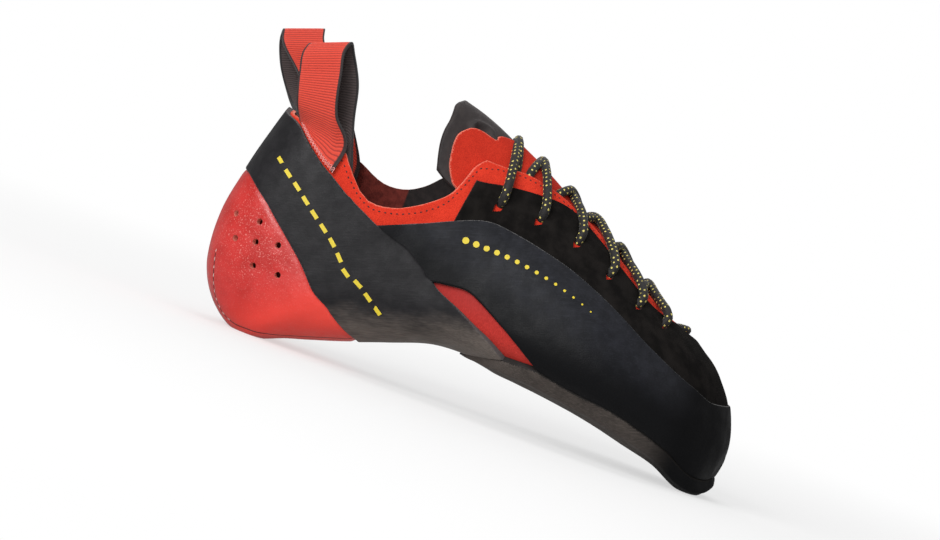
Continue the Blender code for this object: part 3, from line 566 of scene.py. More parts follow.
def row_tree():
    """A node tree that sets like small pieces in a row along guide lines: stitches, or printed marks."""
    made = bpy.data.node_groups.new("row_of_stitches", "GeometryNodeTree")
    kinds = {
        "Guide": "Geometry", "Pitch": "Float", "Length": "Float", "Width": "Float", "Height": "Float",
        "Zigzag": "Float", "Taper": "Float", "Flat": "Bool", "Square": "Bool", "Thread": "Material",
    }
    for name, kind in kinds.items():
        made.interface.new_socket(name, in_out="INPUT", socket_type="NodeSocket" + kind)
    made.interface.new_socket("Row", in_out="OUTPUT", socket_type="NodeSocketGeometry")
    given = add(made, "NodeGroupInput").outputs
    line = add(made, "GeometryNodeMeshToCurve", {"Mesh": given["Guide"]}).outputs[0]
    points = add(made, "GeometryNodeResampleCurve", {"Curve": line, "Length": given["Pitch"]}, mode="LENGTH")
    tangent = add(made, "GeometryNodeInputTangent").outputs[0]
    lift = add(made, "GeometryNodeInputNamedAttribute", {"Name": "lift"}, data_type="FLOAT_VECTOR").outputs[0]
    along = add(made, "FunctionNodeAlignRotationToVector", {"Vector": tangent}, axis="X")
    facing = add(
        made, "FunctionNodeAlignRotationToVector", {"Rotation": along.outputs[0], "Vector": lift},
        axis="Z", pivot_axis="X",
    )
    order = add(made, "GeometryNodeInputIndex").outputs[0]
    swing = maths(made, "MULTIPLY_ADD", maths(made, "MODULO", order, 2.0), 2.0, -1.0)
    swing = maths(made, "MULTIPLY", swing, given["Zigzag"])
    spin = add(made, "ShaderNodeCombineXYZ", {"Z": swing}).outputs[0]
    spin = add(made, "FunctionNodeEulerToRotation", {0: spin}).outputs[0]
    turned = add(
        made, "FunctionNodeRotateRotation", {"Rotation": facing.outputs[0], "Rotate By": spin},
        rotation_space="LOCAL",
    )
    share = add(made, "GeometryNodeSplineParameter").outputs["Factor"]
    size = maths(made, "SUBTRACT", 1.0, maths(made, "MULTIPLY", share, given["Taper"]))
    sides = {0: given["Length"], 1: given["Width"], 2: given["Height"]}
    box = add(made, "ShaderNodeCombineXYZ", sides).outputs[0]
    box = add(made, "ShaderNodeVectorMath", {0: box, "Scale": size}, operation="SCALE").outputs[0]
    bead = add(made, "GeometryNodeMeshUVSphere", {"Segments": 10, "Rings": 6, "Radius": 0.5}).outputs[0]
    slab = add(made, "GeometryNodeMeshCylinder", {"Vertices": 20, "Radius": 0.5, "Depth": 1.0}).outputs[0]
    block = add(made, "GeometryNodeMeshCube").outputs[0]
    kind = bead
    for choice, shape in (("Flat", slab), ("Square", block)):
        sockets = {"Switch": given[choice], "False": kind, "True": shape}
        kind = add(made, "GeometryNodeSwitch", sockets, input_type="GEOMETRY").outputs[0]
    sockets = {"Points": points.outputs[0], "Instance": kind, "Rotation": turned.outputs[0], "Scale": box}
    placed = add(made, "GeometryNodeInstanceOnPoints", sockets).outputs[0]
    real = add(made, "GeometryNodeRealizeInstances", {0: placed}).outputs[0]
    dyed = add(made, "GeometryNodeSetMaterial", {"Geometry": real, "Material": given["Thread"]}).outputs[0]
    add(made, "NodeGroupOutput", {0: dyed})
    return made


ROW_TREE = row_tree()


def row(name, paths, thread, **sizes):
    """A piece made of rows along paths. A path is its points and the directions that they stand off in."""
    points = np.concatenate([path[0] for path in paths])
    lifts = np.concatenate([path[1] for path in paths])
    links, start = [], 0
    for path in paths:
        links += [(start + k, start + k + 1) for k in range(len(path[0]) - 1)]
        start += len(path[0])
    guide_mesh = bpy.data.meshes.new(name)
    guide_mesh.from_pydata(points.tolist(), links, [])
    guide_mesh.attributes.new("lift", "FLOAT_VECTOR", "POINT").data.foreach_set("vector", lifts.ravel())
    guide = bpy.data.objects.new(name + "_guide", guide_mesh)
    scene.collection.objects.link(guide)
    modifier = guide.modifiers.new("row", "NODES")
    modifier.node_group = ROW_TREE
    named = {item.name: item.identifier for item in ROW_TREE.interface.items_tree}
    plain = {"Height": sizes["Width"], "Zigzag": 0.0, "Taper": 0.0, "Flat": False, "Square": False}
    for key, value in {**plain, **sizes, "Thread": thread}.items():
        modifier[named[key]] = value
    evaluated = guide.evaluated_get(bpy.context.evaluated_depsgraph_get())
    mesh = bpy.data.meshes.new_from_object(evaluated)
    mesh.name = name
    bpy.data.objects.remove(guide)
    mesh.polygons.foreach_set("use_smooth", np.ones(len(mesh.polygons), bool))
    mesh.set_sharp_from_angle(angle=SMOOTH_ANGLE)
    piece = bpy.data.objects.new(name, mesh)
    scene.collection.objects.link(piece)
    return piece


def on_last(ring, angle, depth):
    """A path at a depth of the last, with the wall's own form, for a row or a cord."""
    place, normal = last_point(ring, angle), outward(ring, angle)
    return place + normal * (depth + form(place))[:, None], normal


def thread(name, colour, roughness=0.6):
    """Twisted thread in one colour, with paler patches as a painted highlight on its ridges."""
    made, tree, shader = finish(name, roughness)
    ridge_highlight = grade(tree, grain(tree, 0.3 * MM, 3), 0.3, 0.7)
    highlight_colour = tuple(min(1.0, 1.5 * c + 0.02) for c in colour)
    tree.links.new(blend(tree, ridge_highlight, colour, highlight_colour), shader.inputs["Base Color"])
    raise_by(tree, shader, (grain(tree, 0.2 * MM, 3), 0.05 * MM))
    return made


def collar_row(collar, sign):
    """The stitch line of one side, from the heel along the collar and the throat."""
    ring, angle = smooth_through(collar, FINE).T
    throat_ring, throat_angle = smooth_through(THROAT, FINE)[1:].T
    inset = np.interp(angle, *np.array(COLLAR_INSET).T)
    drop = np.interp(throat_angle, *np.array(THROAT_DROP).T)
    shown = (angle > COLLAR_SHOWN[0]) & (angle < COLLAR_SHOWN[1])
    kept = (throat_ring > THROAT_SHOWN[0]) & (throat_ring < THROAT_SHOWN[1])
    ring = np.concatenate([(ring + inset)[shown], throat_ring[kept]])
    angle = np.concatenate([angle[shown], (throat_angle - drop)[kept]])
    return on_last(ring, sign * angle, 0.02 * MM)


DARK_THREAD = thread("dark_thread", (0.035, 0.006, 0.006), 0.8)
collar_stitches = row(
    "collar_stitches", [collar_row(COLLAR_LATERAL, -1), collar_row(COLLAR_MEDIAL, 1)], DARK_THREAD,
    Pitch=COLLAR_PITCH, Length=1.0 * MM, Width=0.62 * MM, Height=0.30 * MM,
)
dress(collar_stitches, "lace")

# The insole: a thin board with a sock, cut to the foot's outline and laid inside over the opening
# underneath. It has the lining's dark finish.
INSOLE_THICKNESS = 0.0014
INSOLE_SIDE = (
    (5.00, 0), (5.20, 28), (5.80, 42), (7.50, 44), (10.0, 42), (13.0, 44), (16.0, 42), (18.0, 26), (18.9, 0),
)
ring, side = smooth_through(INSOLE_SIDE, 10).T
across = np.linspace(-1, 1, 40)[None, :]
angle = np.maximum(side, 0)[:, None] * across
ring = np.repeat(ring[:, None], across.size, axis=1)
insole_top = -(UPPER_WALL + 3 * GAP)
insole = shell("insole_board", [(ring, angle)], insole_top, insole_top - INSOLE_THICKNESS, (LINING,))
dress(insole, "lining", "insole")

# The tongue: a padded half pipe of smooth black fabric under the throat. Its top stands free above the
# collar, with a stitched edge and one small fold where the facing ends.
TONGUE_THICKNESS = 0.0022
FACING_THICKNESS = 0.0008
TONGUE_REAR = ((0.80, 180), (0.88, 167), (1.20, 149), (2.20, 134), (3.30, 123), (4.40, 118))
TONGUE_SIDE = ((4.40, 118), (6.00, 121), (9.00, 130), (12.0, 137), (14.2, 150), (15.9, 166))
TONGUE_TOP = -(UPPER_WALL + 2 * GAP + FACING_THICKNESS)
TONGUE_FOLD = ((64, 117.5), (67.5, 117), (70, 114.6), (72, 112.4))


def tongue_fabric():
    """Smooth knit with a faint brown cast and a soft sheen."""
    made, tree, shader = finish("tongue_fabric", 0.70, Sheen_Weight=0.12, Sheen_Roughness=0.4)
    shader.inputs["Sheen Tint"].default_value = (0.5, 0.42, 0.42, 1)
    patches = grade(tree, grain(tree, 6 * MM, 3), 0.3, 0.7)
    colour = blend(tree, patches, (0.018, 0.013, 0.013), (0.034, 0.026, 0.025))
    tree.links.new(colour, shader.inputs["Base Color"])
    raise_by(tree, shader, (grain(tree, 0.35 * MM, 3), 0.05 * MM), (grain(tree, 5 * MM, 2), 0.25 * MM))
    return made


def tongue_relief(place, reach, ring, angle):
    """The fold over the facing's notch, with a ridge beside it."""
    flat = place[:, [0, 2]] / MM
    fold = smooth_through(TONGUE_FOLD, 8)
    gap = np.sqrt(((flat[:, None] - fold[None]) ** 2).sum(-1).min(1))
    crease = 1.1 * np.exp(-(((gap - 2.4) / 1.3) ** 2)) - 1.3 * np.exp(-((gap / 1.2) ** 2))
    return crease * MM * (place[:, 1] < 0)


share = np.concatenate([np.linspace(0, 0.95, 40), [0.97, 0.985, 0.995, 1]])
rear_ring, rear_angle = smooth_through(TONGUE_REAR, FINE).T
start = np.interp(share, (180 - rear_angle) / (180 - rear_angle[-1]), rear_ring)
columns = np.concatenate([[0, 0.002, 0.005, 0.009], np.linspace(0.015, 1, 110)])[:, None]
ring = start[None, :] + (TONGUE_SIDE[-1][0] - start[None, :]) * columns
side = 180 - np.interp(ring, *np.array(TONGUE_SIDE).T)
angle = 180 - side * share[None, :]
TONGUE_FABRIC = tongue_fabric()
tongue = shell(
    "tongue_pad", [(ring, angle), (ring, -angle)], TONGUE_TOP, TONGUE_TOP - TONGUE_THICKNESS,
    (TONGUE_FABRIC,), rounding=1.3 * MM, thin=0.2, shape=tongue_relief,
)
dress(tongue, "tongue_fabric", "tongue")

# The tongue's facing: red suede sewn on the tongue, heart-shaped at its lateral rear end, which runs on under
# the laces and shows between them as far as the throat goes.
FACING = (
    # degrees from the crest, lateral ones negative, then the rings where it starts and ends
    (-59.5, 5.30, 6.40), (-57.5, 4.60, 6.40), (-54, 3.95, 6.40), (-48.5, 3.30, 6.45), (-42, 3.12, 6.90),
    (-36, 3.20, 8.00), (-32, 3.55, 9.20), (-28, 4.30, 11.4), (-23, 4.20, 13.4), (-16, 4.50, 14.8),
    (-8, 5.00, 15.5), (0, 5.20, 15.6), (8, 5.10, 15.5), (16, 5.00, 14.8), (23, 5.20, 13.4),
)
RED_SUEDE = suede("red_suede", (0.44, 0.019, 0.009), (0.64, 0.036, 0.016), (0.80, 0.19, 0.13))
from_crest, rear, front = smooth_through(FACING, 8).T
share = np.concatenate([[0, 0.003, 0.007, 0.012], np.linspace(0.02, 1, 90)])[:, None]
ring = rear[None, :] + (front - rear)[None, :] * share
angle = np.broadcast_to(np.where(from_crest < 0, -180 - from_crest, 180 - from_crest), ring.shape)
facing_top = -(UPPER_WALL + GAP)
facing = shell(
    "tongue_suede", [(ring, angle)], facing_top, facing_top - FACING_THICKNESS - 0.4 * MM,
    (RED_SUEDE, CUT_SUEDE), rounding=0.5 * MM,
)
dress(facing, "suede", "tongue_facing")

# The heel cup: glossy red leather moulded round the heel, with seven punched holes a side. A seam with pale
# stitches runs up its back, and a smoother strip closes it along the back and underneath.
CUP_EDGE = (
    (2.10, 0), (2.17, 20.5), (2.61, 41.9), (3.05, 53.7), (3.50, 61.7), (3.97, 67.4), (4.47, 70.8),
    (4.98, 72.5), (5.49, 72.9), (6.02, 71.0), (6.68, 64.0), (7.31, 52.9), (7.85, 39.5), (8.32, 18), (8.40, 0),
)
PERFORATIONS = ((3.20, 35.5), (3.60, 55.5), (3.75, 41), (4.05, 55), (4.40, 66), (4.60, 52.5), (5.15, 62.5))
PERFORATION_DIAMETER = 0.0027
SEAM = (
    (3.86, 24.3), (4.19, 22.8), (4.54, 19.8), (4.91, 16.5), (5.29, 16.0), (5.65, 20.5), (5.98, 26.2),
    (6.33, 27.2), (6.74, 22.8), (7.11, 20.9), (7.44, 21.8), (7.76, 22.6), (8.08, 22.8),
)
AWAY_FROM_SEAM = 9 * MM
HOLE_DENT = 0.35 * MM
RIM_THINNING = 1.1 * MM
RIM_REACH = 3 * MM
# Middle of the painted highlight's pale specks on the heel cup.
HIGHLIGHT_MIDDLE = (-6 * MM, 0, 44 * MM)
TUCK = 0.7 * MM
RING_SPAN = 20.0


def drawn(table):
    """A smooth line through a table of rings and angles."""
    return (smooth_through(np.array(table) * (RING_SPAN, 1), FINE) / (RING_SPAN, 1)).T


def edge(*tables, ease=2.5 * MM):
    """Map places along joined tables of rings and angles, each with its count of steps of even real length.
    Each table's line is eased over a width, and keeps its ends."""
    places = []
    for table, count in tables:
        ring, angle = drawn(table)
        angle = np.clip(angle, 0, 180)
        length = run_along(last_point(ring, angle))
        even = np.linspace(0, length[-1], count + 1)
        line = to_map(np.interp(even, length, ring), np.interp(even, length, angle))
        for _ in range(int(2 * (ease * count / length[-1]) ** 2)):
            line[1:-1] = (line[:-2] + 2 * line[1:-1] + line[2:]) / 4
        places.append(line[1 if places else 0:])
    return np.concatenate(places)


def strip(first, second, rows, inset_first, inset_second):
    """Rings and angles of a strip between two edges of the map, with close rows along both edges. Its lines
    run round the last's rings at the heel, and straight across the map at the toe."""
    ring_a, angle_a = from_map(first)
    ring_b, angle_b = from_map(second)
    width = np.linalg.norm(last_point(ring_a, angle_a) - last_point(ring_b, angle_b), axis=-1)
    width = np.maximum(width, 0.8 * MM)[:, None]
    lips = np.minimum(np.array(LIPS)[None] / width, np.linspace(0, 0.3, len(LIPS))[None])
    middle = np.linspace(0, 1, rows + 2)[1:-1][None]
    share = np.concatenate([lips, lips[:, -1:] + (1 - 2 * lips[:, -1:]) * middle, 1 - lips[:, ::-1]], axis=1)
    share = inset_first / width + share * (1 - (inset_first + inset_second) / width)
    ring = ring_a[:, None] + (ring_b - ring_a)[:, None] * share
    around = to_map(ring, angle_a[:, None] + (angle_b - angle_a)[:, None] * share)
    straight = first[:, None] + (second - first)[:, None] * share[..., None]
    toe = ((ring_a + ring_b) / 2 - TOE_LINES[0]) / (TOE_LINES[1] - TOE_LINES[0])
    return from_map(around + (straight - around) * np.clip(toe, 0, 1)[:, None, None])


def both_sides(ring, angle):
    """The same grid on the lateral and the medial side."""
    return [(ring, -angle), (ring, angle)]


def punch(piece, places, outline, depth):
    """Cuts holes of an outline, in metres towards the toe and up, through a wall at rings and angles."""
    shape = bmesh.new()
    for ring, angle in places:
        for sign in (-1, 1):
            here = np.array([ring]), np.array([sign * angle])
            centre, normal = last_point(*here)[0], outward(*here)[0]
            rise = last_point(here[0], here[1] + sign)[0] - centre
            rise -= normal * (rise @ normal)
            rise /= np.linalg.norm(rise)
            ahead = np.cross(rise, normal) * sign
            ends = []
            for height in (-depth, depth):
                corners = [centre + ahead * a + rise * b + normal * height for a, b in outline]
                ends.append([shape.verts.new(corner) for corner in corners])
            for k in range(len(outline)):
                j = (k + 1) % len(outline)
                shape.faces.new((ends[0][k], ends[0][j], ends[1][j], ends[1][k]))
            shape.faces.new(ends[0][::-1])
            shape.faces.new(ends[1])
    bmesh.ops.recalc_face_normals(shape, faces=shape.faces)
    mesh = bpy.data.meshes.new("punch")
    shape.to_mesh(mesh)
    shape.free()
    for made_of in piece.data.materials:
        mesh.materials.append(made_of)
    mesh.polygons.foreach_set("material_index", np.ones(len(mesh.polygons), np.int32))
    tool = bpy.data.objects.new("punch", mesh)
    scene.collection.objects.link(tool)
    modifier = piece.modifiers.new("holes", "BOOLEAN")
    modifier.operation = "DIFFERENCE"
    modifier.object = tool
    evaluated = piece.evaluated_get(bpy.context.evaluated_depsgraph_get())
    cut = bpy.data.meshes.new_from_object(evaluated)
    piece.modifiers.clear()
    piece.data = cut
    bpy.data.objects.remove(tool)


def seam_line(sign):
    """The closing strip's seam on one side, and the direction across it, away from the strip."""
    line, normal = on_last(drawn(SEAM)[0], sign * drawn(SEAM)[1], CUP_DEPTH)
    across = np.cross(np.gradient(line, axis=0), normal) * sign
    across /= np.linalg.norm(across, axis=1, keepdims=True)
    return line, across


def mark_seam(piece):
    """Writes each corner's distance from the seam to the mesh for the finish, below 0 on the strip."""
    place = np.empty(3 * len(piece.data.vertices))
    piece.data.vertices.foreach_get("co", place)
    place = place.reshape(-1, 3)
    distance = np.full(len(place), AWAY_FROM_SEAM)
    for sign in (-1, 1):
        line, across = seam_line(sign)
        here = np.flatnonzero(place[:, 1] * sign >= 0)
        nearest = np.concatenate([
            ((place[part, None] - line[None]) ** 2).sum(-1).argmin(1) for part in np.array_split(here, 16)
        ])
        off = ((place[here] - line[nearest]) * across[nearest]).sum(-1)
        distance[here] = np.where(nearest > 0, off, AWAY_FROM_SEAM)
    piece.data.attributes.new("seam", "FLOAT", "POINT").data.foreach_set("value", distance)


def cup_relief(place, reach, ring, angle):
    """The cup thins out under the band's edge, and each hole dents the leather."""
    relief = np.zeros(len(place))
    for hole_ring, hole_angle in PERFORATIONS:
        for sign in (-1, 1):
            centre = last_point(np.array([hole_ring]), np.array([sign * hole_angle]))[0]
            gap = np.linalg.norm(place - centre, axis=1) / MM
            relief -= HOLE_DENT * np.exp(-((gap / 2.1) ** 2))
    return relief - RIM_THINNING * np.clip(1 - reach / RIM_REACH, 0, 1) ** 1.5


def heel_leather():
    """Smooth red leather with a fine pebble and a waxy gloss. Its colour is painted lighter towards the
    bottom and front of the cup, where it faces down, as painted bounce light, and carries a painted highlight
    of pale pink specks on its upper middle.
    """
    made, tree, shader = finish("red_heel_leather", 0.36, Coat_Weight=0.12, Coat_Roughness=0.32)
    tone = grade(tree, grain(tree, 14 * MM, 3), 0.35, 0.65)
    colour = blend(tree, tone, (0.52, 0.018, 0.014), (0.64, 0.031, 0.026))
    where = add(tree, "ShaderNodeTexCoord").outputs["Object"]
    x, _, z = axes(tree)
    # Painted bounce light: the colour goes lighter towards the bottom and front of the cup, where it faces
    # down.
    painted_low_light = grade(tree, maths(tree, "MULTIPLY_ADD", x, -0.9, z), -8 * MM, 26 * MM, 1.0, 0.0)
    colour = blend(tree, painted_low_light, colour, (1.0, 0.066, 0.044))
    # A painted highlight: pale pink specks, gathered round the cup's upper middle.
    highlight_specks = grade(tree, grain(tree, 0.55 * MM, 3), 0.56, 0.70)
    flat = add(tree, "ShaderNodeVectorMath", {0: where, 1: (1, 0, 1)}, operation="MULTIPLY").outputs[0]
    away = add(tree, "ShaderNodeVectorMath", {0: flat, 1: HIGHLIGHT_MIDDLE}, operation="DISTANCE")
    patches = grade(tree, away.outputs["Value"], 8 * MM, 34 * MM, 0.75, 0.12)
    colour = blend(tree, maths(tree, "MULTIPLY", highlight_specks, patches), colour, (0.90, 0.34, 0.30))
    colour = blend(tree, near_edge(tree, 0.35 * MM), colour, (0.70, 0.25, 0.22))
    off = add(tree, "ShaderNodeAttribute", attribute_name="seam").outputs["Fac"]
    groove = grade(tree, maths(tree, "ABSOLUTE", off), 0.10 * MM, 0.55 * MM, 1.0, 0.0)
    colour = blend(tree, groove, colour, (0.10, 0.006, 0.006))
    tree.links.new(colour, shader.inputs["Base Color"])
    tree.links.new(grade(tree, grain(tree, 4 * MM, 3), 0.3, 0.7, 0.30, 0.46), shader.inputs["Roughness"])
    cells = {"Vector": where, "Scale": 1 / (0.9 * MM)}
    pebble = add(tree, "ShaderNodeTexVoronoi", cells, feature="SMOOTH_F1").outputs["Distance"]
    strip_edge = grade(tree, off, -0.3 * MM, 0.5 * MM, 1.0, 0.0)
    raise_by(
        tree, shader, (pebble, -0.07 * MM), (grain(tree, 0.25 * MM, 4), 0.04 * MM),
        (grain(tree, 7 * MM, 2), 0.35 * MM), (strip_edge, 0.35 * MM), (groove, -0.35 * MM),
    )
    return made


rim = edge((CUP_EDGE, 150))
rings = from_map(rim)[0]
grid = strip(to_map(rings, np.zeros(len(rings))), rim, 50, 0, -TUCK)
HEEL_LEATHER = heel_leather()
heel_cup = shell(
    "heel_cup_leather", both_sides(*grid), CUP_DEPTH, LAID_ON, (HEEL_LEATHER, CUT_SUEDE), shape=cup_relief,
)
mark_seam(heel_cup)
turn = np.linspace(0, 2 * np.pi, 20, endpoint=False)
round_hole = [(PERFORATION_DIAMETER / 2 * np.cos(t), PERFORATION_DIAMETER / 2 * np.sin(t)) for t in turn]
punch(heel_cup, PERFORATIONS, round_hole, 4 * MM)
punch(upper, PERFORATIONS, round_hole, 4 * MM)
dress(heel_cup, "heel_leather", "heel_cup")

# The heel band: a sling of black rubber cemented from the top of the heel round its sides to the arch, where
# it is brown with dust and wear, painted lighter there as painted bounce light. Its corners and its cut edges
# are lighter. A plain row of printed dashes follows it.
BAND_TOP = (
    (0.41, 0), (0.66, 26), (0.94, 40.9), (1.50, 56.7), (2.04, 68.1), (2.56, 77.2), (3.03, 83.7), (3.29, 86.2),
    (3.54, 88.2), (3.67, 89.0), (3.80, 89.6), (3.94, 90.0), (4.08, 90.3), (4.67, 92.5), (5.30, 94.0),
)
BAND_SEAM = ((5.30, 94.0), (5.98, 95.4), (6.65, 95.0), (7.29, 92.9), (7.87, 90.5), (8.42, 88.2))
BAND_WINDOW = ((8.42, 88.2), (9.39, 79.2), (10.22, 66.8), (10.97, 54.8), (11.60, 40))
DASH_LINE = (
    (2.22, 51.9), (2.83, 66.4), (3.46, 75.6), (4.13, 81.4), (4.84, 84.1), (5.55, 84.7), (6.37, 81.8),
    (7.29, 75.0), (8.05, 64.2),
)
SOLE_REAR = ((11.60, 40), (11.20, 26), (10.85, 13), (10.70, 0))
SEAM_DIP = 0.45 * MM


def rubber(
    name, dark, light, roughness=0.46, shine=0.20, wear_and_bounce_light=(0.24, 0.20, 0.175), wear_and_bounce_light_below=None, slope=0.0,
    streak=0.0, edge_colour=(0.11, 0.105, 0.105), painted_sheen_above=None, black_from=None,
):
    """Sanded rubber: matt black, finely streaked along the shoe, with pale cut edges. Below a sloping height
    it can be brown with dust and wear, brightened as painted bounce light; it can carry a painted sheen above
    a sloping height, with painted shade near black below it; and it can be jet black towards the toe."""
    made, tree, shader = finish(name, roughness)
    shader.inputs["Specular IOR Level"].default_value = shine
    x, _, z = axes(tree)
    above = maths(tree, "MULTIPLY_ADD", x, -slope, z)
    fine = grain(tree, 0.5 * MM, 4, stretch=(14, 1, 1), turn=(0, float(ROLL), 0))
    dust = grade(tree, grain(tree, 5 * MM, 5), 0.35, 0.70)
    colour = blend(tree, dust, dark, light)
    streaks = grade(tree, fine, 0.50, 0.72, 0.0, 0.22 + streak)
    colour = blend(tree, streaks, colour, tuple(1.8 * c for c in light))
    # Brown dust and wear below a sloping height, brightened as painted bounce light from the floor.
    if wear_and_bounce_light_below is not None:
        patch = grain(tree, 6 * MM, 4, stretch=(2.5, 1, 1))
        low = grade(tree, maths(tree, "MULTIPLY_ADD", patch, 14 * MM, above), *wear_and_bounce_light_below, 0.9, 0.0)
        wear_and_bounce_colour = blend(tree, grade(tree, fine, 0.3, 0.7), tuple(0.6 * c for c in wear_and_bounce_light), wear_and_bounce_light)
        colour = blend(tree, low, colour, wear_and_bounce_colour)
    # Painted sheen and painted shade: below the sloping height the colour goes near black, above it keeps its
    # tone.
    if painted_sheen_above is not None:
        colour = blend(tree, grade(tree, above, *painted_sheen_above), (0.0055, 0.0057, 0.0066), colour)
    if black_from is not None:
        toe = grade(tree, x, *black_from)
        colour = blend(tree, toe, colour, (0.0070, 0.0070, 0.0078))
        tree.links.new(grade(tree, toe, 0.0, 1.0, shine, 0.4 * shine), shader.inputs["Specular IOR Level"])
    pale = near_edge(tree, 0.45 * MM)
    # With the painted sheen set, the pale edge shows only where the painted sheen is.
    if painted_sheen_above is not None:
        pale = maths(tree, "MULTIPLY", pale, grade(tree, above, *painted_sheen_above))
    colour = blend(tree, pale, colour, edge_colour)
    tree.links.new(colour, shader.inputs["Base Color"])
    gloss = grade(tree, grain(tree, 8 * MM, 4), 0.3, 0.7, roughness - 0.06, roughness + 0.10)
    tree.links.new(gloss, shader.inputs["Roughness"])
    raise_by(
        tree, shader, (fine, 0.05 * MM), (grain(tree, 0.8 * MM, 4), 0.05 * MM),
        (grain(tree, 9 * MM, 2), 0.30 * MM),
    )
    return made


# Its brown part near the arch is dust and wear, brightened as painted bounce light.
BAND_RUBBER = rubber(
    "band_rubber", (0.0135, 0.0130, 0.0145), (0.0205, 0.0195, 0.0215), wear_and_bounce_light=(0.27, 0.225, 0.195),
    wear_and_bounce_light_below=(6 * MM, 25 * MM), slope=0.28, streak=0.05,
)
CUT_RUBBER = rubber("cut_rubber", (0.03, 0.03, 0.031), (0.07, 0.068, 0.068), 0.7)
front = edge((BAND_TOP, 66), (BAND_SEAM, 30), (BAND_WINDOW, 36), (SOLE_REAR, 36))
back = edge((CUP_EDGE, 168))
band_grid = strip(front, back, 34, -0.1 * MM, 0)


def at_seam(ring, angle):
    """1 where band and rand meet in their blended seam."""
    along = np.clip((ring - 5.5) / 0.3, 0, 1) * np.clip((8.5 - ring) / 0.3, 0, 1)
    return along * ((angle > 84) & (angle < 98.5))


def band_relief(place, reach, ring, angle):
    """The band dips under the rand at their seam."""
    seam = at_seam(ring, np.abs(angle))
    return -SEAM_DIP * seam * np.exp(-(((reach - JOINED_REACH * seam) / (0.8 * MM)) ** 2))


band = shell(
    "heel_band_rubber", both_sides(*band_grid), BAND_DEPTH, LAID_ON, (BAND_RUBBER, CUT_RUBBER), thin=0.72,
    rounding=0.8 * MM, joined=at_seam, shape=band_relief,
)
dress(band, "rubber", "heel_band")


def print_ink(name, colour):
    """Screen ink, a thin matt layer that lets a little of the rubber through."""
    made, tree, shader = finish(name, 0.5)
    worn_ink = grade(tree, grain(tree, 0.4 * MM, 4), 0.28, 0.42)
    tree.links.new(blend(tree, worn_ink, tuple(0.5 * c for c in colour), colour), shader.inputs["Base Color"])
    return made


YELLOW_INK = print_ink("yellow_ink", (0.80, 0.62, 0.03))
ring, angle = drawn(DASH_LINE)
band_dashes = row(
    "band_dashes", [on_last(ring, sign * angle, BAND_DEPTH + 0.01 * MM) for sign in (-1, 1)], YELLOW_INK,
    Pitch=6.4 * MM, Length=4.2 * MM, Width=1.7 * MM, Height=0.16 * MM, Square=True,
)
dress(band_dashes, "rubber")

# The rand: black rubber pulled tight round the forefoot and the toe, over the panel's lower edge. It is thin
# and pale along its top edge, with a painted bluish sheen on its upper part and painted shade on its lower
# part, and carries a plain row of printed dots.
RAND_THICKNESS = 0.0018
RAND_SWELL = 1.3 * MM
RAND_SWELL_HEIGHT = 22 * MM
WINDOW_TOP = (
    (8.42, 88.2), (8.91, 88.4), (9.46, 88.4), (9.95, 84.8), (10.39, 80.5), (11.11, 72.4), (11.80, 62.8),
    (12.41, 50.5),
)
SOLE_FLANK = (
    (12.41, 50.5), (13.05, 48), (13.60, 49), (14.35, 54), (15.45, 55), (16.20, 54), (17.20, 54), (17.80, 54),
    (18.20, 50), (18.60, 37), (18.82, 20), (18.90, 0),
)
RAND_TOP_REAR = ((5.30, 94.0), (5.92, 101.8), (6.92, 110.2))
RAND_TOP = (
    (6.92, 110.2), (7.58, 116.0), (8.05, 118.2), (8.53, 118.8), (9.53, 120.0), (10.47, 120.9), (11.30, 122.0),
    (12.11, 122.8), (12.86, 122.4), (13.58, 121.0), (14.30, 119.5), (14.99, 118.2), (15.77, 118.4),
    (16.69, 123.4), (17.40, 138), (17.80, 155), (18.00, 180),
)
RAND_DEPTH = GAP + RAND_THICKNESS
# Its bluish colour and sloping mask paint a sheen on its upper part, with painted shade on its lower part.
RAND_RUBBER = rubber(
    "rand_rubber", (0.0150, 0.0157, 0.0190), (0.0220, 0.0230, 0.0285), 0.44, shine=0.12, slope=-0.228,
    streak=0.12, edge_colour=(0.16, 0.155, 0.155), painted_sheen_above=(68 * MM, 86 * MM),
    black_from=(172 * MM, 194 * MM),
)
top = edge((RAND_TOP_REAR, 18), (RAND_TOP, 156))
base = edge((BAND_SEAM, 30), (WINDOW_TOP, 48), (SOLE_FLANK, 96))
rand_grid = strip(top, base, 44, 0, -0.15 * MM)


def rand_relief(place, reach, ring, angle):
    """The rand is drawn out over the front of the toe to meet the sole's edge."""
    front = np.clip((60 - np.abs(angle)) / 20, 0, 1) * np.clip((ring - 18.2) / 0.6, 0, 1)
    return RAND_SWELL * front * np.clip(1 - place[:, 2] / RAND_SWELL_HEIGHT, 0, 1)


rand = shell(
    "rand_rubber_sheet", both_sides(*rand_grid), RAND_DEPTH, LAID_ON, (RAND_RUBBER, CUT_RUBBER), thin=0.74,
    rounding=0.8 * MM, joined=at_seam, shape=rand_relief,
)
dress(rand, "rubber", "rand")


def rand_line(sign, drop, first, last):
    """A line a little below the rand's top edge, between two rings."""
    ring, angle = smooth_through(RAND_TOP, FINE).T
    kept = (ring > first) & (ring < last)
    return on_last(ring[kept], sign * (angle[kept] - drop), RAND_DEPTH + 0.01 * MM)


rand_dots = row(
    "rand_dots", [rand_line(sign, 12.0, 7.9, 12.4) for sign in (-1, 1)], YELLOW_INK,
    Pitch=4.6 * MM, Length=2.9 * MM, Width=2.9 * MM, Height=0.16 * MM, Taper=0.75, Flat=True,
)
dress(rand_dots, "rubber")

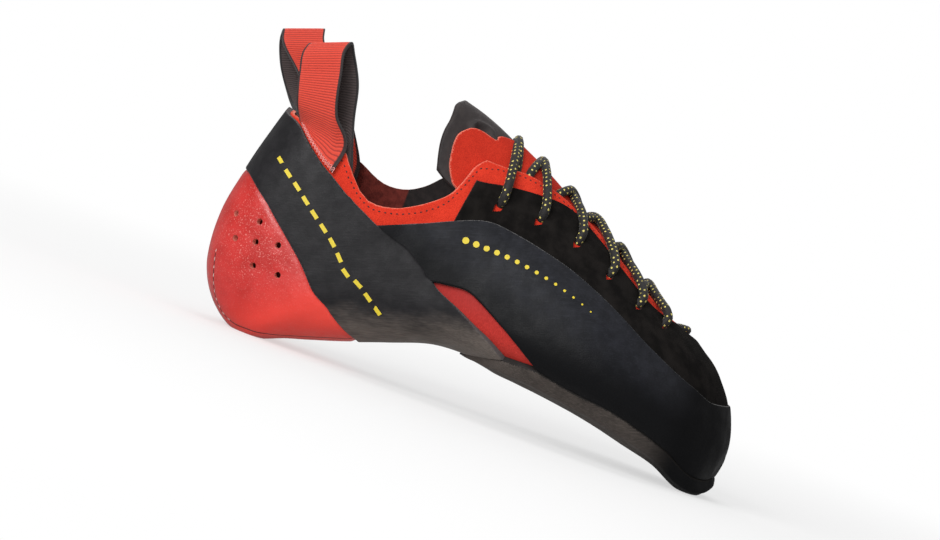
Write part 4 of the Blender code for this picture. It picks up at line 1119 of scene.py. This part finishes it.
# The vamp panel: thin black microsuede cemented on between the rand and the throat. Each lace hole is a slit
# in the shape of a diamond, through which the red leather shows below the lace.
PANEL_THICKNESS = 0.0009
PANEL_TOP = (
    (5.77, 128.2), (6.63, 133.5), (7.54, 139.3), (8.32, 144.6), (9.06, 150.4), (9.68, 153.6), (10.30, 153.6),
    (10.96, 152.4), (11.60, 151.2), (12.22, 149.8), (12.69, 149.4), (13.21, 149.2), (13.77, 150.8),
    (14.20, 155.0), (14.70, 163), (15.15, 172), (15.65, 180), (16.80, 180), (18.00, 180),
)
EYELETS = ((7.55, 126), (9.10, 133), (10.65, 138), (12.10, 138.5), (13.30, 139.5), (14.25, 146))
DIAMOND = (
    (0, -4.4 * MM), (1.8 * MM, -1.6 * MM), (0.6 * MM, 3.2 * MM), (-0.6 * MM, 3.2 * MM),
    (-1.8 * MM, -1.6 * MM),
)
EYELET_RADIUS = 1.7 * MM
EYELET_LIFT = 1.4


def microsuede():
    """Dull black microsuede with hardly any shine."""
    made, tree, shader = finish("black_microsuede", 0.95)
    shader.inputs["Specular IOR Level"].default_value = 0.06
    nap = grade(tree, grain(tree, 7 * MM, 4), 0.3, 0.7)
    colour = blend(tree, nap, (0.0065, 0.0058, 0.0055), (0.0150, 0.0130, 0.0120))
    colour = blend(tree, near_edge(tree, 0.3 * MM), colour, (0.05, 0.03, 0.03))
    tree.links.new(colour, shader.inputs["Base Color"])
    raise_by(tree, shader, (grain(tree, 0.3 * MM, 5), 0.07 * MM), (grain(tree, 4 * MM, 3), 0.20 * MM))
    return made


BLACK_MICROSUEDE = microsuede()
top = edge((PANEL_TOP, 156))
base = edge((RAND_TOP, 156))
panel = shell(
    "vamp_microsuede", both_sides(*strip(top, base, 38, 0, -TUCK)), GAP + PANEL_THICKNESS, LAID_ON,
    (BLACK_MICROSUEDE, BLACK_MICROSUEDE), rounding=0.5 * MM,
)
punch(panel, EYELETS, DIAMOND, 4 * MM)
lace_hole = [(EYELET_RADIUS * np.cos(t), EYELET_RADIUS * np.sin(t)) for t in turn]
punch(upper, [(ring, angle + EYELET_LIFT) for ring, angle in EYELETS], lace_hole, 4 * MM)
dress(panel, "microsuede", "vamp_panel")
dress(upper, "suede", "upper")

# The outsole: a sheet of harder rubber under the forefoot, cut and ground by hand. It is brown with dust,
# painted lighter lower down as painted bounce light, and streaked along its side, skived thin at its rear
# end, and black and lumpy where the toe was trimmed.
SOLE_EDGE_THICKNESS = 0.0020
SOLE_CORNER_THICKNESS = 0.0050
SOLE_BACK_CORNER = ((11.60, 40), (12.00, 45.5), (12.41, 50.5))
REAR_SKIVE = 1.5 * MM
TOE_GROUND = 2.0 * MM


def sole_relief(place, reach, ring, angle):
    """Hand grinding: facets and nicks on the side and round the toe, and none on the flat tread. The rear end
    is skived to a feather, and the toe's edge is ground down to the rand."""
    side = np.clip((np.abs(angle) - 26) / 10, 0, 1)
    toe = np.clip((ring - 17.6) / 0.8, 0, 1) * (place[:, 2] > 0.6 * MM)
    ground = side * 0.22 * MM * soft_noise(place, 0.005, 8) + toe * 0.35 * MM * soft_noise(place, 0.0035, 9)
    middle = np.clip((38 - np.abs(angle)) / 20, 0, 1)
    rear = np.clip((12.9 - ring) / 0.9, 0, 1) * np.clip(1 - reach / (16 * MM), 0, 1)
    far = np.minimum(reach / (9 * MM), 1)
    front = np.clip((ring - 17.6) / 0.6, 0, 1) * (1 - far * far * (3 - 2 * far))
    return ground - middle * (rear * REAR_SKIVE + front * TOE_GROUND)


def sole_depth(place, ring, angle):
    """Thick underfoot, proudest at the bottom corner and thinner up the side."""
    flank_ring, flank_angle = from_map(flank)
    order = np.argsort(flank_ring)
    limit = np.interp(ring, flank_ring[order], flank_angle[order])
    share = np.abs(angle) / np.maximum(limit, 1)
    thicknesses = [SOLE_THICKNESS, SOLE_THICKNESS, SOLE_CORNER_THICKNESS, SOLE_EDGE_THICKNESS]
    profile = np.interp(share, [0, 0.45, 0.70, 1], thicknesses)
    return GAP + SOLE_THICKNESS + (profile - SOLE_THICKNESS) * np.clip(limit / 30, 0, 1)


# Its brown lower part is dust, brightened as painted bounce light.
SOLE_RUBBER = rubber(
    "sole_rubber", (0.034, 0.028, 0.025), (0.075, 0.062, 0.054), 0.58, wear_and_bounce_light=(0.150, 0.125, 0.110),
    wear_and_bounce_light_below=(44 * MM, 66 * MM), slope=-0.18, streak=0.3, edge_colour=(0.016, 0.014, 0.013),
    black_from=(168 * MM, 190 * MM),
)
flank = edge((SOLE_REAR[::-1], 36), (SOLE_BACK_CORNER, 12), (SOLE_FLANK, 96))
ring, angle = from_map(flank)
lip = np.array([0, 0.004, 0.012, 0.024, 0.04])
share = np.concatenate([-1 + lip, np.linspace(-0.94, 0.94, 84), (1 - lip)[::-1]])
sole_angle = np.maximum(angle, 0)[:, None] * share[None, :]
sole_ring = np.repeat(ring[:, None], len(share), axis=1)
outsole = shell(
    "outsole_rubber", [(sole_ring, sole_angle)], sole_depth, LAID_ON, (SOLE_RUBBER, SOLE_RUBBER), thin=0.8,
    rounding=0.6 * MM, shape=sole_relief,
)
dress(outsole, "sole_rubber", "outsole")

# The pull loops: two lengths of ribbed webbing that straddle the collar, red outside and black inside, with
# black selvedges. Each is sewn along the band's edge outside with a zigzag of pale thread, and inside.
WEBBING_WIDTH = 0.0185
WEBBING_THICKNESS = 0.0013
RIB_PITCH = 1.05 * MM
WARP_PITCH = 0.45 * MM
RIB_RELIEF = 0.10 * MM
HEM_ROWS = (5, 13)
LOOP_OUTER_ROWS = {
    "lateral": (("band", -0.04, 48, 84), ("collar", 0.02, 46, 86)),
    "medial": (("band", -0.04, 34, 75), ("collar", 0.02, 31, 76)),
}
LOOP_INNER_ROWS = (("collar", 0.02, 56, 90), ("collar", 0.60, 60, 90))
LOOP_FREE_ROWS = (
    # lateral and medial x, y and z as shares of the shoe's length, ball width and instep height, and the
    # width's lean in degrees
    (-0.012, -0.042, 0.370, 0.800, 2), (-0.028, -0.083, 0.364, 0.930, 17), (-0.035, -0.097, 0.338, 1.008, 20),
    (-0.029, -0.096, 0.288, 1.040, 20), (-0.019, -0.091, 0.241, 1.008, 19), (0.003, -0.048, 0.216, 0.920, 13),
    (0.018, 0.006, 0.222, 0.800, 0),
)
LOOP_YAW = 16
LATERAL_SAG = 0.0026
LOOP_ACROSS = 17


def webbing(name, base_colour, groove, selvedge):
    """Woven webbing with cross ribs, painted darker in the grooves between them as painted shade. The UV map
    holds metres across and along it.
    """
    made, tree, shader = finish(name, 0.72, Sheen_Weight=0.15)
    uv = add(tree, "ShaderNodeUVMap", uv_map="weave").outputs[0]
    across, along, _ = add(tree, "ShaderNodeSeparateXYZ", {0: uv}).outputs
    rib = maths(tree, "COSINE", maths(tree, "MULTIPLY", along, 2 * np.pi / RIB_PITCH))
    warp = maths(tree, "COSINE", maths(tree, "MULTIPLY", across, 2 * np.pi / WARP_PITCH))
    # Painted shade: the colour goes to the darker groove colour in the troughs between the ribs.
    colour = blend(tree, grade(tree, rib, -0.95, -0.2), groove, base_colour)
    fuzz = grade(tree, grain(tree, 0.4 * MM, 3), 0.3, 0.7, 0.0, 0.25)
    colour = blend(tree, fuzz, colour, tuple(0.7 * c for c in base_colour))
    side = maths(tree, "ABSOLUTE", maths(tree, "SUBTRACT", across, WEBBING_WIDTH / 2))
    border = grade(tree, side, WEBBING_WIDTH / 2 - 0.9 * MM, WEBBING_WIDTH / 2 - 0.6 * MM)
    tree.links.new(blend(tree, border, colour, selvedge), shader.inputs["Base Color"])
    raise_by(tree, shader, (warp, 0.02 * MM), (grain(tree, 0.25 * MM, 3), 0.04 * MM))
    return made


# The second colour of each webbing is the painted shade of its rib grooves.
RED_WEBBING = webbing("red_webbing", (0.78, 0.062, 0.030), (0.36, 0.022, 0.014), (0.030, 0.014, 0.014))
BLACK_WEBBING = webbing("black_webbing", (0.085, 0.060, 0.058), (0.030, 0.021, 0.021), (0.02, 0.016, 0.017))


def loop_rows(side, collar):
    """Rows of points across the webbing, from the outer hem over the crown to the inner hem."""
    sign = -1 if side == "lateral" else 1
    across = np.linspace(0, 1, LOOP_ACROSS)
    half = WEBBING_THICKNESS / 2
    edges = {"band": BAND_TOP, "collar": collar}
    sewn = []
    outer, inner = 2 * GAP + half, -(UPPER_WALL + 3 * GAP + half)
    for placed, depth in ((LOOP_OUTER_ROWS[side], outer), (LOOP_INNER_ROWS, inner)):
        made = []
        for followed, past, angle_a, angle_b in placed:
            angle = angle_a + (angle_b - angle_a) * across
            rings, angles = smooth_through(edges[followed], FINE).T
            ring = np.interp(angle, angles, rings) + past
            made.append(last_point(ring, sign * angle) + outward(ring, sign * angle) * depth)
        sewn.append(made)
    free = []
    for lateral_x, medial_x, y, z, turn in LOOP_FREE_ROWS:
        x = lateral_x if side == "lateral" else medial_x
        sag = LATERAL_SAG * np.clip((z - 0.80) / 0.20, 0, 1) if side == "lateral" else 0
        centre = np.array([x * SHOE_LENGTH, sign * y * BALL_WIDTH, z * INSTEP_HEIGHT - sag])
        lean_up, yaw = np.radians(turn), sign * np.radians(LOOP_YAW)
        width = np.array([np.cos(lean_up) * np.cos(yaw), np.sin(yaw), np.sin(lean_up)]) * WEBBING_WIDTH
        free.append(centre + (across[:, None] - 0.5) * width)
    return np.array(sewn[0] + free + sewn[1])


hem_paths = []
for side, sign, collar in (("lateral", -1, COLLAR_LATERAL), ("medial", 1, COLLAR_MEDIAL)):
    grid = smooth_through(loop_rows(side, collar), 80)
    normal = np.cross(np.gradient(grid, axis=0), np.gradient(grid, axis=1))
    normal /= np.linalg.norm(normal, axis=-1, keepdims=True)
    if normal[10, 8, 1] * sign < 0:
        normal = -normal
    along = run_along(grid[:, LOOP_ACROSS // 2])
    ribs = RIB_RELIEF * np.cos(2 * np.pi * along / RIB_PITCH)[:, None]
    across = np.linspace(0, 1, LOOP_ACROSS)[None]
    ribs = ribs * np.minimum(1, 8 * np.minimum(across, 1 - across))
    rows, columns = grid.shape[:2]
    ids = np.arange(rows * columns).reshape(rows, columns)
    faces = np.stack([ids[:-1, :-1], ids[1:, :-1], ids[1:, 1:], ids[:-1, 1:]], -1).reshape(-1, 4)
    a, b, c = (grid.reshape(-1, 3)[faces[:, k]] for k in range(3))
    if (np.cross(b - a, c - a) * normal.reshape(-1, 3)[faces[:, 0]]).sum() < 0:
        faces = faces[:, ::-1]
    outer = grid + normal * (WEBBING_THICKNESS / 2 + ribs)[..., None]
    inner = grid - normal * (WEBBING_THICKNESS / 2 + ribs)[..., None]
    loop = close(
        "loop_" + side + "_webbing", faces, outer.reshape(-1, 3), inner.reshape(-1, 3),
        (RED_WEBBING, BLACK_WEBBING, BLACK_WEBBING),
    )
    weave = np.stack(np.broadcast_arrays(across * WEBBING_WIDTH, along[:, None]), -1).reshape(-1, 2)
    weave = np.concatenate([weave, weave])
    corner = np.empty(len(loop.data.loops), np.int32)
    loop.data.loops.foreach_get("vertex_index", corner)
    loop.data.uv_layers.new(name="weave").uv.foreach_set("vector", weave[corner].ravel().astype(np.float32))
    dress(loop, "webbing", "pull_loop_" + side)
    for k in HEM_ROWS:
        hem_paths.append((outer[k] + normal[k] * 0.05 * MM, normal[k]))
PALE_THREAD = thread("pale_thread", (0.66, 0.26, 0.24), 0.8)
hem_stitches = row(
    "loop_hem_stitches", hem_paths, PALE_THREAD, Pitch=0.8 * MM, Length=1.7 * MM, Width=0.34 * MM, Zigzag=1.1,
)
dress(hem_stitches, "webbing")

# The lace: one round cord, braided black with pale yellow flecks. It comes up out of each slit, crosses over
# the throat, dips under the far edge and on to the next slit, and its ends stop inside at the top slits.
LACE_RADIUS = 1.9 * MM
LACE_SIDES = 20
LACE_STEP = 0.45 * MM
BRAID_PITCH = 1.9 * MM
BRAID_STRANDS = 5
BRAID_RELIEF = 0.12 * MM
FLECK_PITCH = 2.4 * MM
FLECK_COLUMNS = 6
STRANDS = (
    # x where it crosses the crest, x where it dips under the far edge, and how much lower it lies than the
    # others, in millimetres
    (81.5, 85.0, 2.4), (94.0, 91.0, 1.3), (110.0, 105.5, 0.6), (123.5, 119.0, 0.4), (138.0, 134.0, 0.4),
    (154.0, 153.0, 0.3),
)
OVER, UNDER = 0.8 * MM, -0.5 * MM
BAR = ((172, -1.3, -4.6), (173.5, -0.9, -1.6), (177, 0, 0.9), (173.5, 0.9, -1.6), (172, 1.3, -4.6))


def from_crest(x, turned_by, depth):
    """A point at x, so many degrees from the crest, lateral ones negative, and a depth of the last."""
    angle = -180 - turned_by if turned_by < 0 else 180 - turned_by
    rings = np.linspace(3, 19.5, 300)
    ring = np.interp(x * MM, last_point(rings, np.full(300, angle))[:, 0], rings)
    here = np.array([ring]), np.array([angle])
    return last_point(*here)[0] + outward(*here)[0] * depth


def throat_turn(x):
    """Degrees from the crest to the throat's edge at x."""
    ring, angle = smooth_through(THROAT, FINE).T
    return 180 - np.interp(x * MM, last_point(ring, angle)[:, 0], angle)


def strand(number, side):
    """Points of the strand that comes out of a slit, from its dip under the far edge to inside the slit."""
    crest, dip, lower = STRANDS[number]
    ring, angle = EYELETS[number]
    turn = 180 - angle - EYELET_LIFT
    x = last_point(np.array([ring]), np.array([angle]))[0][0] / MM
    top = (OVER if (number + (side > 0)) % 2 else UNDER) - lower * MM
    far, near = throat_turn(dip), throat_turn((x + crest) / 2)
    half_far = throat_turn((crest + dip) / 2)
    panel = GAP + PANEL_THICKNESS + LACE_RADIUS
    places = (
        (dip + 0.5, -side * (far + 5), -4.0 * MM),
        (dip, -side * (far - 1.0), -2.2 * MM),
        ((crest + dip) / 2, -side * half_far * 0.55, min(top, 0.0)),
        (crest, 0.0, top),
        (crest + (x - crest) * 0.38, side * near * 0.75, 0.5 * (top + 2.0 * MM)),
        (crest + (x - crest) * 0.62, side * (near + 0.22 * (turn - near)), 2.5 * MM),
        (crest + (x - crest) * 0.86, side * (near + 0.62 * (turn - near)), panel + 0.3 * MM),
        (x, side * (turn - 2.6), panel - 0.3 * MM),
        (x, side * (turn + 0.4), -0.6 * MM),
        (x, side * (turn + 1.2), -3.3 * MM),
    )
    return [from_crest(*place) for place in places]


def half_lace(first_side):
    """Points of the lace's one line from the top slits to the toe's, which changes sides at each pair."""
    points, side = [], first_side
    for number in range(len(EYELETS)):
        points += strand(number, side)
        side = -side
    return points


def cord(name, points, made_of):
    """A round braided cord through points, with metres along it and turns round it in its UV map."""
    line = smooth_through(points, 20)
    length = run_along(line)
    count = int(length[-1] / LACE_STEP)
    even = np.linspace(0, length[-1], count)
    centre = np.stack([np.interp(even, length, line[:, k]) for k in range(3)], -1)
    for _ in range(6):
        centre[1:-1] = (centre[:-2] + 2 * centre[1:-1] + centre[2:]) / 4
    tangent = np.gradient(centre, axis=0)
    tangent /= np.linalg.norm(tangent, axis=1, keepdims=True)
    side = np.cross(tangent[0], (0, 0, 1.0))
    sides = []
    for k in range(count):
        side = side - tangent[k] * (side @ tangent[k])
        side /= np.linalg.norm(side)
        sides.append(side)
    sides = np.array(sides)
    over = np.cross(tangent, sides)
    turn = np.linspace(0, 2 * np.pi, LACE_SIDES, endpoint=False)[None]
    twist = 2 * np.pi * even[:, None] / BRAID_PITCH
    braid = np.cos(BRAID_STRANDS * turn + twist) * np.cos(BRAID_STRANDS * turn - twist)
    radius = (LACE_RADIUS + BRAID_RELIEF * braid)[..., None]
    around = sides[:, None] * np.cos(turn)[..., None] + over[:, None] * np.sin(turn)[..., None]
    skin = centre[:, None] + radius * around
    ids = np.arange(count * LACE_SIDES).reshape(count, LACE_SIDES)
    after = np.roll(ids, -1, axis=1)
    quads = np.stack([ids[:-1], after[:-1], after[1:], ids[1:]], -1).reshape(-1, 4)
    mesh = bpy.data.meshes.new(name)
    ends = [ids[0][::-1].tolist(), ids[-1].tolist()]
    mesh.from_pydata(skin.reshape(-1, 3).tolist(), [], quads.tolist() + ends)
    u = np.arange(LACE_SIDES) / LACE_SIDES
    u = np.broadcast_to(u, (count - 1, LACE_SIDES))
    low, high = even[:-1, None] + 0 * u, even[1:, None] + 0 * u
    corners = np.stack([
        np.stack([u, low], -1), np.stack([u + 1 / LACE_SIDES, low], -1),
        np.stack([u + 1 / LACE_SIDES, high], -1), np.stack([u, high], -1),
    ], 2).reshape(-1, 2)
    corners = np.concatenate([corners, np.zeros((2 * LACE_SIDES, 2))])
    mesh.uv_layers.new(name="braid").uv.foreach_set("vector", corners.ravel().astype(np.float32))
    mesh.materials.append(made_of)
    mesh.polygons.foreach_set("use_smooth", np.ones(len(mesh.polygons), bool))
    piece = bpy.data.objects.new(name, mesh)
    scene.collection.objects.link(piece)
    bm = bmesh.new()
    bm.from_mesh(mesh)
    if bm.calc_volume(signed=True) < 0:
        bmesh.ops.reverse_faces(bm, faces=bm.faces)
        bm.to_mesh(mesh)
    bm.free()
    return piece


def lace_braid():
    """Black braid with flecks of pale yellow in staggered columns."""
    made, tree, shader = finish("lace_braid", 0.7, Sheen_Weight=0.1)
    uv = add(tree, "ShaderNodeUVMap", uv_map="braid").outputs[0]
    around, along, _ = add(tree, "ShaderNodeSeparateXYZ", {0: uv}).outputs
    column = maths(tree, "MULTIPLY", around, float(FLECK_COLUMNS))
    whole = maths(tree, "FLOOR", column)
    stagger = maths(tree, "FRACT", maths(tree, "MULTIPLY", whole, 0.5))
    step = maths(tree, "ADD", maths(tree, "DIVIDE", along, FLECK_PITCH), stagger)
    beside = maths(tree, "SUBTRACT", maths(tree, "FRACT", column), 0.5)
    ahead = maths(tree, "SUBTRACT", maths(tree, "FRACT", step), 0.5)
    wide = maths(tree, "POWER", maths(tree, "DIVIDE", maths(tree, "ABSOLUTE", beside), 0.24), 2.0)
    long = maths(tree, "POWER", maths(tree, "DIVIDE", maths(tree, "ABSOLUTE", ahead), 0.17), 2.0)
    cell = add(tree, "ShaderNodeCombineXYZ", {0: whole, 1: maths(tree, "FLOOR", step)}).outputs[0]
    chance = add(tree, "ShaderNodeTexWhiteNoise", {"Vector": cell}, noise_dimensions="3D").outputs["Value"]
    there = grade(tree, chance, 0.22, 0.30)
    oval = grade(tree, maths(tree, "ADD", wide, long), 0.7, 1.15, 1.0, 0.0)
    fleck = maths(tree, "MULTIPLY", there, oval)
    fibre = grade(tree, grain(tree, 0.3 * MM, 3), 0.3, 0.7)
    black = blend(tree, fibre, (0.005, 0.0045, 0.0045), (0.018, 0.015, 0.014))
    yellow = blend(tree, fibre, (0.66, 0.54, 0.08), (0.90, 0.80, 0.26))
    tree.links.new(blend(tree, fleck, black, yellow), shader.inputs["Base Color"])
    raise_by(tree, shader, (fleck, 0.06 * MM), (grain(tree, 0.3 * MM, 4), 0.08 * MM))
    return made


bar = [from_crest(x, share * throat_turn(x), depth * MM) for x, share, depth in BAR]
lace = cord("lace_cord", half_lace(-1) + bar[::-1] + half_lace(1)[::-1], lace_braid())
dress(lace, "lace", "laces")

# The finer stitches: pale thread in the seam up the back of the heel cup, and a black row along the tongue's
# rear edge. Each stitch is a short bead sunk a little into its leather or cloth.
STITCH_WHITE = thread("white_thread", (0.62, 0.50, 0.46), 0.7)


def heel_seam(sign):
    """The pale stitches in the closing strip's seam, from its top end down round the back of the heel."""
    ring, angle = drawn(SEAM)
    return on_last(ring[ring < 5.5], sign * angle[ring < 5.5], CUP_DEPTH - 0.12 * MM)


heel_stitches = row(
    "heel_seam_stitches", [heel_seam(-1), heel_seam(1)], STITCH_WHITE,
    Pitch=3.4 * MM, Length=2.0 * MM, Width=0.42 * MM,
)
dress(heel_stitches, "heel_leather")

tongue_paths = []
edge_ring, edge_angle = smooth_through(TONGUE_REAR, FINE).T
for sign in (-1, 1):
    kept = edge_angle > 121
    tongue_paths.append(on_last(edge_ring[kept] + 0.26, sign * edge_angle[kept], TONGUE_TOP - 0.1 * MM))
tongue_stitches = row(
    "tongue_stitches", tongue_paths, thread("black_thread", (0.012, 0.009, 0.009)),
    Pitch=2.2 * MM, Length=1.6 * MM, Width=0.36 * MM,
)
dress(tongue_stitches, "tongue_fabric")
